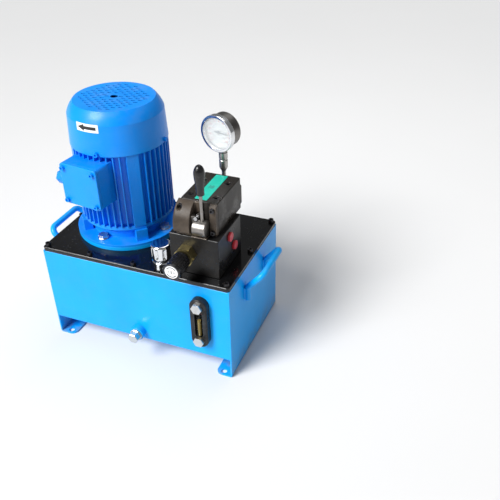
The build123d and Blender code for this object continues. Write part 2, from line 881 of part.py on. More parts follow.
def pump_body():
    """The gear chamber, with a suction port at the back and a pressure port at the front."""
    with BuildPart() as body:
        pump_outline(motor_plane(gear_base), gear_width)
        with BuildSketch(motor_plane(gear_base)):
            Circle(tip_radius + 0.1)
            with Locations((pump_offset, 0)):
                Circle(tip_radius + 0.1)
        extrude(amount=gear_width, mode=Mode.SUBTRACT)
        middle = Plane(origin=(pump_mid_x, motor_y, port_z), x_dir=(1, 0, 0), z_dir=(0, -1, 0))
        bore(middle, 6, pump_wall + 1)
        bore(middle, 8, -(pump_wall + 1))
    finish(body, "pump_body")


def pump_covers():
    """The mounting cover above the gears and the end cover below them, with shaft bores."""
    radius = pump_shaft / 2 + running_fit
    with BuildPart() as covers:
        pump_outline(motor_plane(cover_seat), cover_thickness)
        ring(motor_plane(bell_base), 20 - running_fit, 0, 6)
        bore(motor_plane(cover_seat), radius, cover_thickness + 6)
        bore(driven_plane(cover_seat), radius, cover_thickness - 4)
        pump_outline(motor_plane(end_cover_base), cover_thickness)
        for plane in (motor_plane(gear_base), driven_plane(gear_base)):
            bore(plane, radius, 4 - cover_thickness)
    finish(covers, "pump_covers")


def tooth_angle(radius):
    """Half the angle that a tooth fills at a radius, from the involute of a 20 degree gear."""
    pressure = math.radians(20)
    base_radius = pitch_radius * math.cos(pressure)
    thin = gear_backlash / (2 * pitch_radius)
    at_pitch = math.pi / (2 * gear_teeth) - thin
    roll = math.acos(min(1.0, base_radius / radius))
    return at_pitch + (math.tan(pressure) - pressure) - (math.tan(roll) - roll)


def gear_tooth():
    """One involute tooth on the sketch's X axis, its foot inside the root circle."""
    base_radius = pitch_radius * math.cos(math.radians(20))
    flank = [base_radius + (tip_radius - base_radius) * i / 5 for i in range(6)]
    upper = [(r * math.cos(tooth_angle(r)), r * math.sin(tooth_angle(r))) for r in flank]
    lower = [(x, -y) for x, y in upper[::-1]]
    foot = 0.9 * root_radius
    half_foot = foot * math.tan(tooth_angle(base_radius))
    with BuildSketch(mode=Mode.PRIVATE) as tooth:
        with BuildLine():
            Polyline((foot, -half_foot), (foot, half_foot), *upper, *lower, close=True)
        make_face()
    return tooth.sketch


def gears():
    """The driving gear on the coupled shaft, and the driven gear in mesh with it."""
    half_pitch = 180 / gear_teeth
    spots = (
        ("drive_gear", motor_plane(gear_base + 0.05), 0, spider_base - gear_base),
        ("driven_gear", driven_plane(gear_base + 0.05), half_pitch, gear_width + cover_thickness - 5),
    )
    for name, plane, angle, reach in spots:
        with BuildPart() as gear:
            with BuildSketch(plane):
                Circle(root_radius)
                with PolarLocations(0, gear_teeth, start_angle=angle):
                    add(gear_tooth())
            extrude(amount=gear_width - 0.1)
            ring(plane.offset(5 - cover_thickness), pump_shaft / 2, 0, cover_thickness - 5 + reach)
        finish(gear, name)


def suction_strainer():
    """The strainer that the pump draws oil through."""
    start = Plane(
        origin=(pump_mid_x, motor_y + pump_wall, port_z), x_dir=(1, 0, 0), z_dir=(0, 1, 0)
    )
    with BuildPart() as strainer:
        ring(start, 10, 8, 12)
        ring(start.offset(12), 24, 8, 3)
        ring(start.offset(15), 24, 21, 46)
        ring(start.offset(61), 24, 0, 3)
    finish(strainer, "suction_strainer")


def tank_pipes():
    """The pressure pipe from the pump up to the block, and the straight return pipe."""
    pump_face = motor_y - pump_wall
    with BuildPart() as pipes:
        with BuildLine():
            path = FilletPolyline(
                (pump_mid_x, pump_face, port_z),
                (pump_mid_x, pressure_port[1], port_z),
                (pressure_port[0], pressure_port[1], port_z),
                (pressure_port[0], pressure_port[1], lid_top + 10),
                radius=18,
            )
        with BuildSketch(Plane(origin=path @ 0, z_dir=path % 0)):
            Circle(6)
            Circle(4, mode=Mode.SUBTRACT)
        sweep(path=path)
        ring(Plane(origin=(*return_port, sheet + ground_gap + 20)), 7, 5, lid_top + 10 - 63)
    finish(pipes, "tank_pipes")


# Manifold and lever valve

def manifold_block():
    """The drilled block between the lid and the valve."""
    with BuildPart() as block:
        with BuildSketch(Plane.XY.offset(lid_top)):
            with Locations(((block_left + block_right) / 2, (block_front + block_back) / 2)):
                Rectangle(manifold_size_x, manifold_size_y)
        extrude(amount=manifold_size_z)
        chamfer(block.edges(), 1)
        underside = Plane.XY.offset(lid_top)
        for spot, pipe, passage in ((pressure_port, 6, 4), (return_port, 7, 5)):
            with BuildSketch(underside):
                with Locations(spot):
                    Circle(pipe)
            extrude(amount=10, mode=Mode.SUBTRACT)
            with BuildSketch(underside):
                with Locations(spot):
                    Circle(passage)
            extrude(amount=manifold_size_z, mode=Mode.SUBTRACT)
        with BuildSketch(underside):
            with Locations(*block_bolt_spots):
                Circle(5)
        extrude(amount=18, mode=Mode.SUBTRACT)
        for y, z in (port_a, port_b):
            with BuildSketch(side_plane(block_right)):
                with Locations((y, z)):
                    Circle(port_diameter / 2)
            extrude(amount=-14, mode=Mode.SUBTRACT)
            with BuildSketch(side_plane(block_right)):
                with Locations((y, z)):
                    Circle(4)
            extrude(amount=service_x - 4 - block_right, mode=Mode.SUBTRACT)
            bore(Plane(origin=(service_x, y, z)), 4, block_top - z)
        relief = Plane(origin=(relief_x, block_front, relief_z), x_dir=(1, 0, 0), z_dir=(0, -1, 0))
        bore(relief, relief_cavity / 2, -38)
        bore(relief, 4, -46)
        rear = Plane(origin=(gauge_port[0], block_back, gauge_port[1]), x_dir=(1, 0, 0), z_dir=(0, 1, 0))
        bore(rear, 4, -52)
        with BuildSketch(Plane.XY.offset(block_top)):
            with Locations(*valve_screw_spots):
                Circle(valve_screw_diameter / 2)
        extrude(amount=-16, mode=Mode.SUBTRACT)
    finish(block, "manifold_block")


def valve_body():
    """The directional valve's body, with its spool bore and four counterbored screw holes."""
    with BuildPart() as body:
        with BuildSketch(Plane.XY.offset(block_top)):
            with Locations((valve_mid_x, (valve_front + valve_back) / 2)):
                Rectangle(valve_size_x, valve_size_y)
        extrude(amount=valve_size_z)
        fillet(body.edges().filter_by(Axis.Z), 3)
        fillet(body.faces().sort_by(Axis.Z)[-1].outer_wire().edges(), 2)
        with Locations(*[(x, y, valve_top) for x, y in valve_screw_spots]):
            CounterBoreHole(
                valve_screw_diameter / 2 + screw_clearance, valve_screw_diameter * 0.85 + 0.3, 7
            )
        bore(
            Plane(origin=(spool_x, valve_front, spool_z), x_dir=(1, 0, 0), z_dir=(0, 1, 0)),
            spool_diameter / 2,
            valve_size_y,
        )
        for x, y in (pressure_port, return_port, (service_x, port_a[0]), (service_x, port_b[0])):
            bore(Plane(origin=(x, y, block_top)), 4, spool_z - block_top)
        for x, z in housing_screw_spots:
            bore(Plane(origin=(x, valve_front, z), x_dir=(1, 0, 0), z_dir=(0, 1, 0)), 2.5, 10)
        for x, z in end_cover_screw_spots:
            bore(Plane(origin=(x, valve_back, z), x_dir=(1, 0, 0), z_dir=(0, -1, 0)), 2.5, 10)
    finish(body, "valve_body")


def valve_screws():
    """The four socket head screws that clamp the valve to the block."""
    with BuildPart() as screws:
        for x, y in valve_screw_spots:
            cap_screw(Plane(origin=(x, y, valve_top - 7)), valve_screw_diameter, valve_size_z + 8)
    finish(screws, "valve_screws")


def spool_plane(y):
    """A plane across the spool bore, facing the back."""
    return Plane(origin=(spool_x, y, spool_z), x_dir=(1, 0, 0), z_dir=(0, 1, 0))


def valve_spool():
    """The sliding spool: lands in the bore, and a grooved stem that the crank pin moves."""
    land = spool_diameter / 2 - running_fit
    front = valve_front + 13
    length = valve_size_y - 23
    stem = spool_stem / 2
    with BuildPart() as spool:
        ring(spool_plane(front), land, 0, length)
        for start in (14, 36, 58):
            ring_cut(spool_plane(front + start), land + 1, 5, 10)
        stem_front = lever_y - 5.3
        ring(spool_plane(stem_front), stem, 0, front - stem_front)
        ring_cut(spool_plane(lever_y - 2.8), stem + 1, 1.8, 5.6)
    finish(spool, "valve_spool")


def ring_cut(plane, outer, inner, depth):
    """Cut a groove between two radii."""
    with BuildSketch(plane) as groove:
        Circle(outer)
        Circle(inner, mode=Mode.SUBTRACT)
    extrude(groove.sketch, amount=depth, mode=Mode.SUBTRACT)


def coil_spring(plane, mean_radius, wire, length, turns):
    """Add a helical spring standing on a plane, with its wire inside the given length."""
    pitch = (length - wire) / turns
    start = plane.offset(wire / 2)
    with BuildLine() as path:
        coil = Helix(pitch, length - wire, mean_radius, center=start.origin, direction=start.z_dir)
    with BuildSketch(Plane(origin=coil @ 0, z_dir=coil % 0)) as section:
        Circle(wire / 2)
    sweep(section.sketch, path=path.line, is_frenet=True)


def spool_springs():
    """The two springs that centre the spool."""
    with BuildPart() as springs:
        coil_spring(spool_plane(valve_front), 5.9, 1.4, 13, 4)
        coil_spring(spool_plane(valve_back - 10), 5.9, 1.4, 27, 7)
    finish(springs, "spool_springs")


def valve_end_cover():
    """The cover that closes the back of the valve, with a pocket for the rear spring."""
    with BuildPart() as cover:
        with BuildSketch(Plane(origin=(0, valve_back, 0), x_dir=(-1, 0, 0), z_dir=(0, 1, 0))):
            with Locations((-spool_x + 2, block_top + 22)):
                RectangleRounded(valve_size_x - 4, 40, 4)
        extrude(amount=8)
        ring(spool_plane(valve_back), 11, 0, 20)
        bore(spool_plane(valve_back), 8.5, 17)
        for x, z in end_cover_screw_spots:
            bore(
                Plane(origin=(x, valve_back, z), x_dir=(1, 0, 0), z_dir=(0, 1, 0)),
                2.5 + screw_clearance,
                8,
            )
    finish(cover, "valve_end_cover")


def lever_housing():
    """The cast bracket in front of the valve: a rounded lobe, a cheek and a low bridge."""
    lobe_left = valve_left - 4
    lobe_right = spool_x - 8.7
    cheek_left = rod_x + 10
    base = block_top + 1
    with BuildPart() as housing:
        with BuildSketch(side_plane(lobe_left)):
            with BuildLine():
                top = Line((valve_front, base), (valve_front, valve_top - 1))
                roof = Line(top @ 1, (valve_front - 4, valve_top - 1))
                front = Line((valve_front - 30, lever_z + 6), (valve_front - 30, base + 10))
                ThreePointArc(roof @ 1, (valve_front - 22, lever_z + 27), front @ 0)
                toe = RadiusArc(front @ 1, (valve_front - 20, base), 10)
                Line(toe @ 1, top @ 0)
            make_face()
        extrude(amount=lobe_right - lobe_left)
        fillet(housing.faces().sort_by(Axis.X)[0].outer_wire().edges().filter_by_position(
            Axis.Y, valve_front - 31, valve_front - 3), 4)
        with BuildSketch(side_plane(cheek_left)):
            with BuildLine():
                Polyline(
                    (valve_front, base),
                    (valve_front, valve_top - 1),
                    (valve_front - 4, valve_top - 1),
                    (valve_front - housing_seat, valve_top - 5),
                    (valve_front - housing_seat, base),
                    close=True,
                )
            make_face()
        extrude(amount=valve_right - cheek_left)
        with BuildSketch(side_plane(lobe_right)):
            with Locations((valve_front - 12, base + 0.75)):
                Rectangle(24, 1.5)
        extrude(amount=cheek_left - lobe_right)
        stem_hole = spool_stem / 2 + 0.5
        with BuildSketch(side_plane(lobe_right)):
            with Locations((valve_front - 1.75, (spool_z + valve_top) / 2 - 4)):
                Rectangle(3.5, valve_top - spool_z + 6)
        extrude(amount=spool_x + 5.5 - lobe_right)
        bore(Plane(origin=(spool_x, valve_front - 4, spool_z), x_dir=(1, 0, 0), z_dir=(0, 1, 0)),
             stem_hole, 4)
        pivot = Plane(origin=(valve_left, lever_y, lever_z), x_dir=(0, 1, 0), z_dir=(1, 0, 0))
        bore(pivot.offset(5), lever_shaft / 2 + running_fit, valve_size_x - 9)
        for x, z in housing_screw_spots:
            seat = Plane(origin=(x, valve_front, z), x_dir=(1, 0, 0), z_dir=(0, -1, 0))
            bore(seat, 2.5 + screw_clearance, housing_seat)
            bore(seat.offset(housing_seat), 4.6, 30)
    finish(housing, "lever_housing")


def lever():
    """The hub with its shaft and crank pin, the thin rod screwed into it, and the grip."""
    hub_left = spool_x - 4.4
    hub_right = rod_x + 9
    hub = Plane(origin=(hub_left, lever_y, lever_z), x_dir=(0, 1, 0), z_dir=(1, 0, 0))
    with BuildPart() as hub_part:
        ring(hub, lever_hub_diameter / 2, 0, hub_right - hub_left)
        chamfer(hub_part.edges().filter_by(GeomType.CIRCLE), 1)
        ring(hub.offset(-24), lever_shaft / 2, 0, hub_right - hub_left + 24)
        with BuildSketch(hub.offset(-3.8)):
            Circle(8)
            with Locations((0, crank_radius / 2 + 1)):
                Rectangle(8, crank_radius + 6)
        extrude(amount=3.8)
        with BuildSketch(hub):
            with Locations((0, crank_radius)):
                Circle(2.5)
        extrude(amount=2.1)
        bore(Plane(origin=(rod_x, lever_y, lever_z + 5)), lever_rod_diameter / 2, 20)
    finish(hub_part, "lever_hub")
    with BuildPart() as rod:
        ring(
            Plane(origin=(rod_x, lever_y, lever_z + 5)),
            lever_rod_diameter / 2,
            0,
            lever_length - grip_length + 15,
        )
    finish(rod, "lever_rod")
    base = lever_z + lever_length - grip_length
    radius = grip_diameter / 2
    with BuildPart() as grip:
        with BuildSketch(Plane(origin=(rod_x, lever_y, 0), x_dir=(1, 0, 0), z_dir=(0, -1, 0))):
            with BuildLine():
                floor = Line((0, base), (radius * 0.72, base))
                Spline(
                    floor @ 1,
                    (radius * 0.66, base + grip_length * 0.2),
                    (radius, base + grip_length * 0.72),
                    (0, base + grip_length),
                    tangents=[(0, 1), (-1, 0)],
                )
                Line((0, base + grip_length), floor @ 0)
            make_face()
        revolve(axis=Axis((rod_x, lever_y, 0), (0, 0, 1)))
        bore(Plane(origin=(rod_x, lever_y, base)), lever_rod_diameter / 2, 20)
    finish(grip, "lever_grip")


# Relief valve

def relief_plane(distance):
    """A plane across the relief valve, so far in front of the block, facing the front."""
    return Plane(
        origin=(relief_x, block_front - distance, relief_z), x_dir=(1, 0, 0), z_dir=(0, -1, 0)
    )


def relief_valve():
    """The cartridge, its turning knob, the pushed piston, the spring and the poppet."""
    cavity = relief_bore / 2
    with BuildPart() as body:
        with BuildSketch(relief_plane(0)):
            RegularPolygon(relief_hex / 2, 6, major_radius=False)
        extrude(amount=14)
        ring(relief_plane(14), 17, 0, 5)
        ring(relief_plane(19), 9, 0, 8)
        ring(relief_plane(-37), relief_cavity / 2, 0, 37)
        bore(relief_plane(-33), cavity, 60)
        bore(relief_plane(-37), 2.5, 5)
    finish(body, "relief_body")
    with BuildPart() as knob:
        ring(relief_plane(22), knob_diameter / 2, 0, knob_length)
        fillet(knob.faces().sort_by(Axis.Y)[0].edges(), 1.2)
        with BuildSketch(relief_plane(26)):
            with PolarLocations(knob_diameter / 2 + 0.4, 24):
                Circle(1)
        extrude(amount=knob_length - 8, mode=Mode.SUBTRACT)
        bore(relief_plane(22), 9.5, 9)
        ring(relief_plane(5), 3, 0, 27)
    finish(knob, "relief_knob")
    with BuildPart() as piston:
        ring(relief_plane(-2), cavity - running_fit, 0, 7 - 0.05)
    finish(piston, "relief_piston")
    with BuildPart() as poppet:
        turned(
            Plane(origin=(relief_x, block_front + 32.6, relief_z), x_dir=(1, 0, 0), z_dir=(0, 0, 1)).rotated(
                (0, 0, 180)
            ),
            [(0, -2), (2.2, 0.2), (5.2, 3), (5.2, 7.6), (0, 7.6)],
        )
    finish(poppet, "relief_poppet")
    with BuildPart() as spring:
        coil_spring(relief_plane(-25), 3.8, 1.6, 23, 5)
    finish(spring, "relief_spring")


# Pressure gauge

def gauge_pipe():
    """The nut, bent tube and snubber that carry the gauge behind the valve."""
    x = gauge_port[0]
    port = gauge_port[1]
    with BuildPart() as pipe:
        with BuildSketch(Plane(origin=(x, block_back, port), x_dir=(1, 0, 0), z_dir=(0, 1, 0))):
            RegularPolygon(9.5, 6, major_radius=False)
        extrude(amount=14)
        with BuildLine():
            path = FilletPolyline(
                (x, block_back + 13, port), (x, gauge_y, port), (x, gauge_y, gauge_z - 60), radius=16
            )
        with BuildSketch(Plane(origin=path @ 0, z_dir=path % 0)):
            Circle(gauge_tube / 2)
        sweep(path=path)
        stem = Plane(origin=(x, gauge_y, 0), x_dir=(1, 0, 0), z_dir=(0, -1, 0))
        top = gauge_z - gauge_body / 2
        turned(
            stem,
            [
                (0, top - 47), (4, top - 47), (8, top - 39), (8, top - 25), (7, top - 24),
                (7, top - 22), (8, top - 21), (8, top - 10), (6.5, top - 9), (6.5, top), (0, top),
            ],
        )
    finish(pipe, "gauge_pipe")


def pressure_gauge():
    """The gauge's case, bezel, dial, pointer and window, facing the front."""
    body = gauge_body / 2
    rim = gauge_bezel_diameter / 2
    with BuildPart() as case:
        ring(gauge_plane.offset(-14), body, 0, 26)
        fillet(case.edges().filter_by(GeomType.CIRCLE).sort_by(Axis.Y)[-1], 2)
        bore(gauge_plane.offset(-2), body - 2, 20)
        ring(gauge_plane.offset(-2), 2, 0, 10)
    finish(case, "gauge_case")
    with BuildPart() as bezel:
        ring(gauge_plane.offset(8), rim, body, 4)
        ring(gauge_plane.offset(12), rim, body - 1.5, 6)
        fillet(bezel.edges().filter_by(GeomType.CIRCLE).group_by(SortBy.RADIUS)[-1], 1.2)
    finish(bezel, "gauge_bezel")
    with BuildPart() as dial:
        ring(gauge_plane.offset(8), body - 2, 2.2, 1)
    finish(dial, "gauge_dial")
    sweep_zero = math.radians(225)
    with BuildPart() as pointer:
        ring(gauge_plane.offset(10), 3.2, 0, 1.2)
        with BuildSketch(gauge_plane.offset(10)):
            with Locations(Location((0, 0, 0), (0, 0, 225))):
                with BuildLine():
                    Polyline((-9, -1.4), (21, -0.5), (21, 0.5), (-9, 1.4), close=True)
                make_face()
        extrude(amount=0.8)
        bore(gauge_plane.offset(9), 0.8, 0.5)
    finish(pointer, "gauge_pointer")
    with BuildPart() as glass:
        ring(gauge_plane.offset(15.5), body - 1.5, 0, 1.5)
    finish(glass, "gauge_glass")


def port_plugs():
    """The two push-in plugs that keep the service ports clean."""
    for name, (y, z) in (("port_plug_a", port_a), ("port_plug_b", port_b)):
        face = Plane(origin=(block_right, y, z), x_dir=(0, 1, 0), z_dir=(1, 0, 0))
        with BuildPart() as plug:
            ring(face, plug_diameter / 2, 0, 4)
            fillet(plug.faces().sort_by(Axis.X)[-1].edges(), 1)
            ring(face.offset(-10), port_diameter / 2 - 0.05, port_diameter / 2 - 1.6, 10)
        finish(plug, name)


tank_shell()
tank_side(-1, "tank_side_left")
tank_side(1, "tank_side_right")
carry_handles()
lid_gasket()
lid_plate()
lid_screws()
level_gauge_frame()
level_gauge_tube()
level_gauge_bolts()
drain()
breather()
motor_flange()
motor_frame()
stator()
motor_end_shield()
fan_cover()
motor_fan()
motor_shaft_part()
rotor_core()
motor_bearings()
flange_bolts()
terminal_box()
terminal_box_lid()
cable_gland()
small_cover_screws()
coupling()
bell_housing()
pump_body()
pump_covers()
gears()
suction_strainer()
tank_pipes()
manifold_block()
valve_body()
valve_screws()
valve_spool()
spool_springs()
valve_end_cover()
lever_housing()
lever()
relief_valve()
gauge_pipe()
pressure_gauge()
port_plugs()
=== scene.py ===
import json
import logging
import math
from dataclasses import dataclass, field
from enum import Enum
from typing import Any

import bpy
import numpy as np
from mathutils import Matrix, Vector


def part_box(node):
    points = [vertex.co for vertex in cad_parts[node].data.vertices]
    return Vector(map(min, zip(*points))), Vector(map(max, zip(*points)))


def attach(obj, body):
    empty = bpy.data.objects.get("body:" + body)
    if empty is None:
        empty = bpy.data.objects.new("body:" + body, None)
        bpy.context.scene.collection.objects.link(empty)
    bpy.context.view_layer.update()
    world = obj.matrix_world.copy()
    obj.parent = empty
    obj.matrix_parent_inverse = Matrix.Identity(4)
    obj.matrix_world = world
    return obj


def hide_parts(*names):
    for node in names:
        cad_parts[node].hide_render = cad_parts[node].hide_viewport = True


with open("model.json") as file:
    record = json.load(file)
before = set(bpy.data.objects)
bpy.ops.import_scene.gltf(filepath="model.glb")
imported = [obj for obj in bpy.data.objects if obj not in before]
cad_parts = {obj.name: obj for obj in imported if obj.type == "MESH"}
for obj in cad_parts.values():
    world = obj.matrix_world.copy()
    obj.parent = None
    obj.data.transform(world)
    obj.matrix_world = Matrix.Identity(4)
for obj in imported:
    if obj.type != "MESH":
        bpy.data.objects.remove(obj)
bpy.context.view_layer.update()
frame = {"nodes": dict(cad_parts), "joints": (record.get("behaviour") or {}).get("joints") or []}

log = logging.getLogger("power_unit")
Array = np.ndarray
Colour = tuple[float, float, float]
MILLIMETRE = 0.001
PRINT = 0.0001  # thickness of printed ink, in metres
POLE = 0.0004  # radius at which most turned profiles start, in metres


# Shader maths

class Value:
    """A socket that holds a number and takes part in Python arithmetic."""

    def __init__(self, shader: "Shader", socket: bpy.types.NodeSocket) -> None:
        """Keep the socket and the shader it belongs to."""
        self.shader = shader
        self.socket = socket

    def math(self, operation: str, *operands: Any, clamp: bool = False) -> "Value":
        """Add one Math node.

        Args:
            operation: The Math node's operation.
            operands: Its inputs, in order, as numbers or values.
            clamp: Whether the result is held between 0 and 1.

        Returns:
            The node's result.
        """
        made = self.shader.node("ShaderNodeMath", {"operation": operation, "use_clamp": clamp},
                                dict(enumerate(operands)))
        return Value(self.shader, made.outputs[0])

    def __add__(self, other: Any) -> "Value":
        """self + other."""
        return self.math("ADD", self, other)

    __radd__ = __add__

    def __sub__(self, other: Any) -> "Value":
        """self - other."""
        return self.math("SUBTRACT", self, other)

    def __rsub__(self, other: Any) -> "Value":
        """other - self."""
        return self.math("SUBTRACT", other, self)

    def __mul__(self, other: Any) -> "Value":
        """self * other."""
        return self.math("MULTIPLY", self, other)

    __rmul__ = __mul__

    def clamp(self) -> "Value":
        """The value held between 0 and 1."""
        return self.math("ADD", self, 0.0, clamp=True)

    def step(self, low: float, high: float) -> "Value":
        """A smooth step from 0 at low to 1 at high."""
        made = self.shader.node("ShaderNodeMapRange", {"interpolation_type": "SMOOTHSTEP"},
                                {"Value": self, "From Min": low, "From Max": high})
        return Value(self.shader, made.outputs["Result"])


class Shader:
    """A material's node tree, built by calls that each add one node."""

    def __init__(self, name: str) -> None:
        """Start an empty material with its coordinates ready.

        Args:
            name: The material's name.
        """
        self.material = bpy.data.materials.new(name)
        self.material.use_nodes = True
        self.tree = self.material.node_tree
        self.tree.nodes.clear()
        self.coordinates = self.node("ShaderNodeTexCoord").outputs["Object"]

    def node(self, kind: str, settings: dict[str, Any] | None = None,
             inputs: dict[Any, Any] | None = None) -> bpy.types.Node:
        """Add any node.

        Args:
            kind: The node's type.
            settings: Its properties.
            inputs: Its inputs by name or number, as numbers, colours, sockets or values.

        Returns:
            The new node.
        """
        made = self.tree.nodes.new(kind)
        for key, setting in (settings or {}).items():
            setattr(made, key, setting)
        for key, given in (inputs or {}).items():
            socket = made.inputs[key]
            given = given.socket if isinstance(given, Value) else given
            if isinstance(given, bpy.types.NodeSocket):
                self.tree.links.new(given, socket)
            elif isinstance(given, tuple) and len(given) == 3 and socket.type == "RGBA":
                socket.default_value = (*given, 1.0)
            else:
                socket.default_value = given
        return made

    def noise(self, scale: float, detail: float = 3.0, stretch: Colour = (1.0, 1.0, 1.0),
              roughness: float = 0.55) -> Value:
        """Fractal noise over the object's own coordinates.

        Args:
            scale: Features in each metre.
            detail: Octaves.
            stretch: How much the coordinates are scaled along each axis first.
            roughness: How strong the fine octaves are.

        Returns:
            The noise, from 0 to 1 about 0.5.
        """
        placed = self.node("ShaderNodeMapping", {}, {"Vector": self.coordinates, "Scale": stretch})
        made = self.node("ShaderNodeTexNoise", {}, {
            "Vector": placed.outputs[0], "Scale": scale, "Detail": detail, "Roughness": roughness})
        return Value(self, made.outputs[0])

    def cells(self, scale: float) -> Value:
        """The distance to the nearest of the scattered points of a Voronoi pattern."""
        made = self.node("ShaderNodeTexVoronoi", {},
                         {"Vector": self.coordinates, "Scale": scale})
        return Value(self, made.outputs["Distance"])

    def height(self) -> Value:
        """The Z of the object's own coordinates, in metres."""
        made = self.node("ShaderNodeSeparateXYZ", {}, {0: self.coordinates})
        return Value(self, made.outputs["Z"])

    def facing_up(self) -> Value:
        """1 on level faces that look up, 0 on walls."""
        geometry = self.node("ShaderNodeNewGeometry")
        made = self.node("ShaderNodeSeparateXYZ", {}, {0: geometry.outputs["Normal"]})
        return Value(self, made.outputs["Z"]).clamp()

    def rounded(self, radius: float) -> tuple[bpy.types.NodeSocket, Value]:
        """A normal rounded over sharp edges, and how strongly it turns there.

        Args:
            radius: The rounding's radius in metres.

        Returns:
            The rounded normal, and a mask that is 1 on edges and 0 on faces.
        """
        bevel = self.node("ShaderNodeBevel", {"samples": 6}, {"Radius": radius})
        flat = self.node("ShaderNodeNewGeometry")
        dot = self.node("ShaderNodeVectorMath", {"operation": "DOT_PRODUCT"},
                        {0: bevel.outputs[0], 1: flat.outputs["Normal"]})
        mask = 1.0 - Value(self, dot.outputs["Value"])
        return bevel.outputs[0], mask.step(0.01, 0.22)

    def mix(self, mask: Any, under: Any, over: Any) -> bpy.types.NodeSocket:
        """A colour that goes from under to over as the mask goes from 0 to 1."""
        made = self.node("ShaderNodeMix", {"data_type": "RGBA"}, {0: mask, 6: under, 7: over})
        return made.outputs[2]

    def bump(self, height: Value, strength: float, depth: float,
             normal: bpy.types.NodeSocket) -> bpy.types.NodeSocket:
        """A bumped normal.

        Args:
            height: The relief, from 0 to 1.
            strength: How much of it shows.
            depth: The relief's full depth in metres.
            normal: The normal it is laid on.

        Returns:
            The new normal.
        """
        made = self.node("ShaderNodeBump", {}, {
            "Height": height, "Strength": strength, "Distance": depth, "Normal": normal})
        return made.outputs[0]

    def surface(self, **inputs: Any) -> bpy.types.Material:
        """Close the tree with a Principled surface.

        Args:
            inputs: Its inputs, with spaces in their names written as underscores.

        Returns:
            The finished material.
        """
        made = self.node("ShaderNodeBsdfPrincipled", {},
                         {key.replace("_", " "): given for key, given in inputs.items()})
        self.node("ShaderNodeOutputMaterial", {}, {"Surface": made.outputs[0]})
        return self.material


# Finishes

DUST = (0.30, 0.29, 0.26)
PALE_DUST = (0.45, 0.44, 0.42)
WORN_BLACK = (0.16, 0.16, 0.17)
CLEAN_BLACK = (0.004, 0.004, 0.0045)
SMEARED_BLACK = (0.022, 0.022, 0.023)
GLOSS_BLACK = (0.01, 0.01, 0.01)


@dataclass(frozen=True)
class Enamel:
    """Sprayed enamel on steel or cast iron, with orange peel, dust and rubbed edges."""

    name: str
    colour: Colour
    shade: Colour
    edge: Colour
    roughness: float = 0.28
    peel: float = 0.10
    casting: float = 0.0
    wear: float = 0.35
    dust: float = 0.25
    rounding: float = 1.2

    def build(self) -> bpy.types.Material:
        """Mix the enamel's shades, its dust and its edges, over a peel or a cast skin.

        Returns:
            The finished material.
        """
        shader = Shader(self.name)
        normal, edges = shader.rounded(self.rounding * MILLIMETRE)
        clouds = shader.noise(9.0, 4.0)
        runs = shader.noise(16.0, 3.0, (1.0, 1.0, 0.18))
        colour = shader.mix((clouds * 0.6 + runs * 0.4).step(0.35, 0.68), self.shade, self.colour)
        chips = (edges * shader.noise(130.0, 5.0)).step(0.30, 0.42) * self.wear
        colour = shader.mix(chips, colour, self.edge)
        specks = shader.cells(420.0).step(0.20, 0.09) * shader.noise(14.0).step(0.52, 0.66)
        settled = (shader.facing_up() * 0.5 + 0.12) * shader.noise(40.0, 5.0).step(0.42, 0.75)
        low = shader.height().step(0.05, 0.0) * shader.noise(55.0, 5.0).step(0.40, 0.62)
        dirt = ((settled + specks * 0.7 + low * 1.6) * self.dust).clamp()
        colour = shader.mix(dirt, colour, DUST)
        roughness = self.roughness + shader.noise(26.0, 4.0) * 0.10 + dirt * 0.35 + chips * 0.2
        relief = shader.noise(330.0, 2.0)
        normal = shader.bump(relief, self.peel, 0.6 * MILLIMETRE, normal)
        if self.casting:
            skin = shader.noise(620.0, 5.0, roughness=0.7) + shader.noise(90.0, 2.0) * 0.8
            normal = shader.bump(skin, self.casting, 0.9 * MILLIMETRE, normal)
        return shader.surface(Base_Color=colour, Roughness=roughness.clamp(), Normal=normal,
                              Coat_Weight=0.12, Coat_Roughness=0.15, Specular_IOR_Level=0.26)


@dataclass(frozen=True)
class BlackGloss:
    """The lid's black stove enamel: oily smears, fine scratches and white dust."""

    name: str

    def build(self) -> bpy.types.Material:
        """Lay smears and scratches in the roughness, and dust in the colour.

        Returns:
            The finished material.
        """
        shader = Shader(self.name)
        normal, edges = shader.rounded(0.9 * MILLIMETRE)
        smears = shader.noise(22.0, 5.0, (1.0, 0.45, 1.0))
        scratches = (shader.noise(60.0, 2.0, (1.0, 14.0, 1.0)).step(0.66, 0.70)
                     + shader.noise(60.0, 2.0, (12.0, 1.0, 1.0)).step(0.67, 0.71)).clamp()
        specks = shader.cells(260.0).step(0.13, 0.06) * shader.noise(30.0).step(0.46, 0.60)
        film = shader.noise(13.0, 5.0).step(0.45, 0.80)
        colour = shader.mix(film * 0.25 + scratches * 0.12, CLEAN_BLACK, SMEARED_BLACK)
        colour = shader.mix((specks * 0.75).clamp(), colour, PALE_DUST)
        colour = shader.mix(edges * 0.30, colour, WORN_BLACK)
        roughness = 0.10 + smears.step(0.35, 0.72) * 0.16 + scratches * 0.12 + specks * 0.4
        normal = shader.bump(shader.noise(210.0, 2.0), 0.05, 0.5 * MILLIMETRE, normal)
        return shader.surface(Base_Color=colour, Roughness=roughness.clamp(), Normal=normal,
                              Coat_Weight=0.1, Coat_Roughness=0.08, Specular_IOR_Level=0.36)


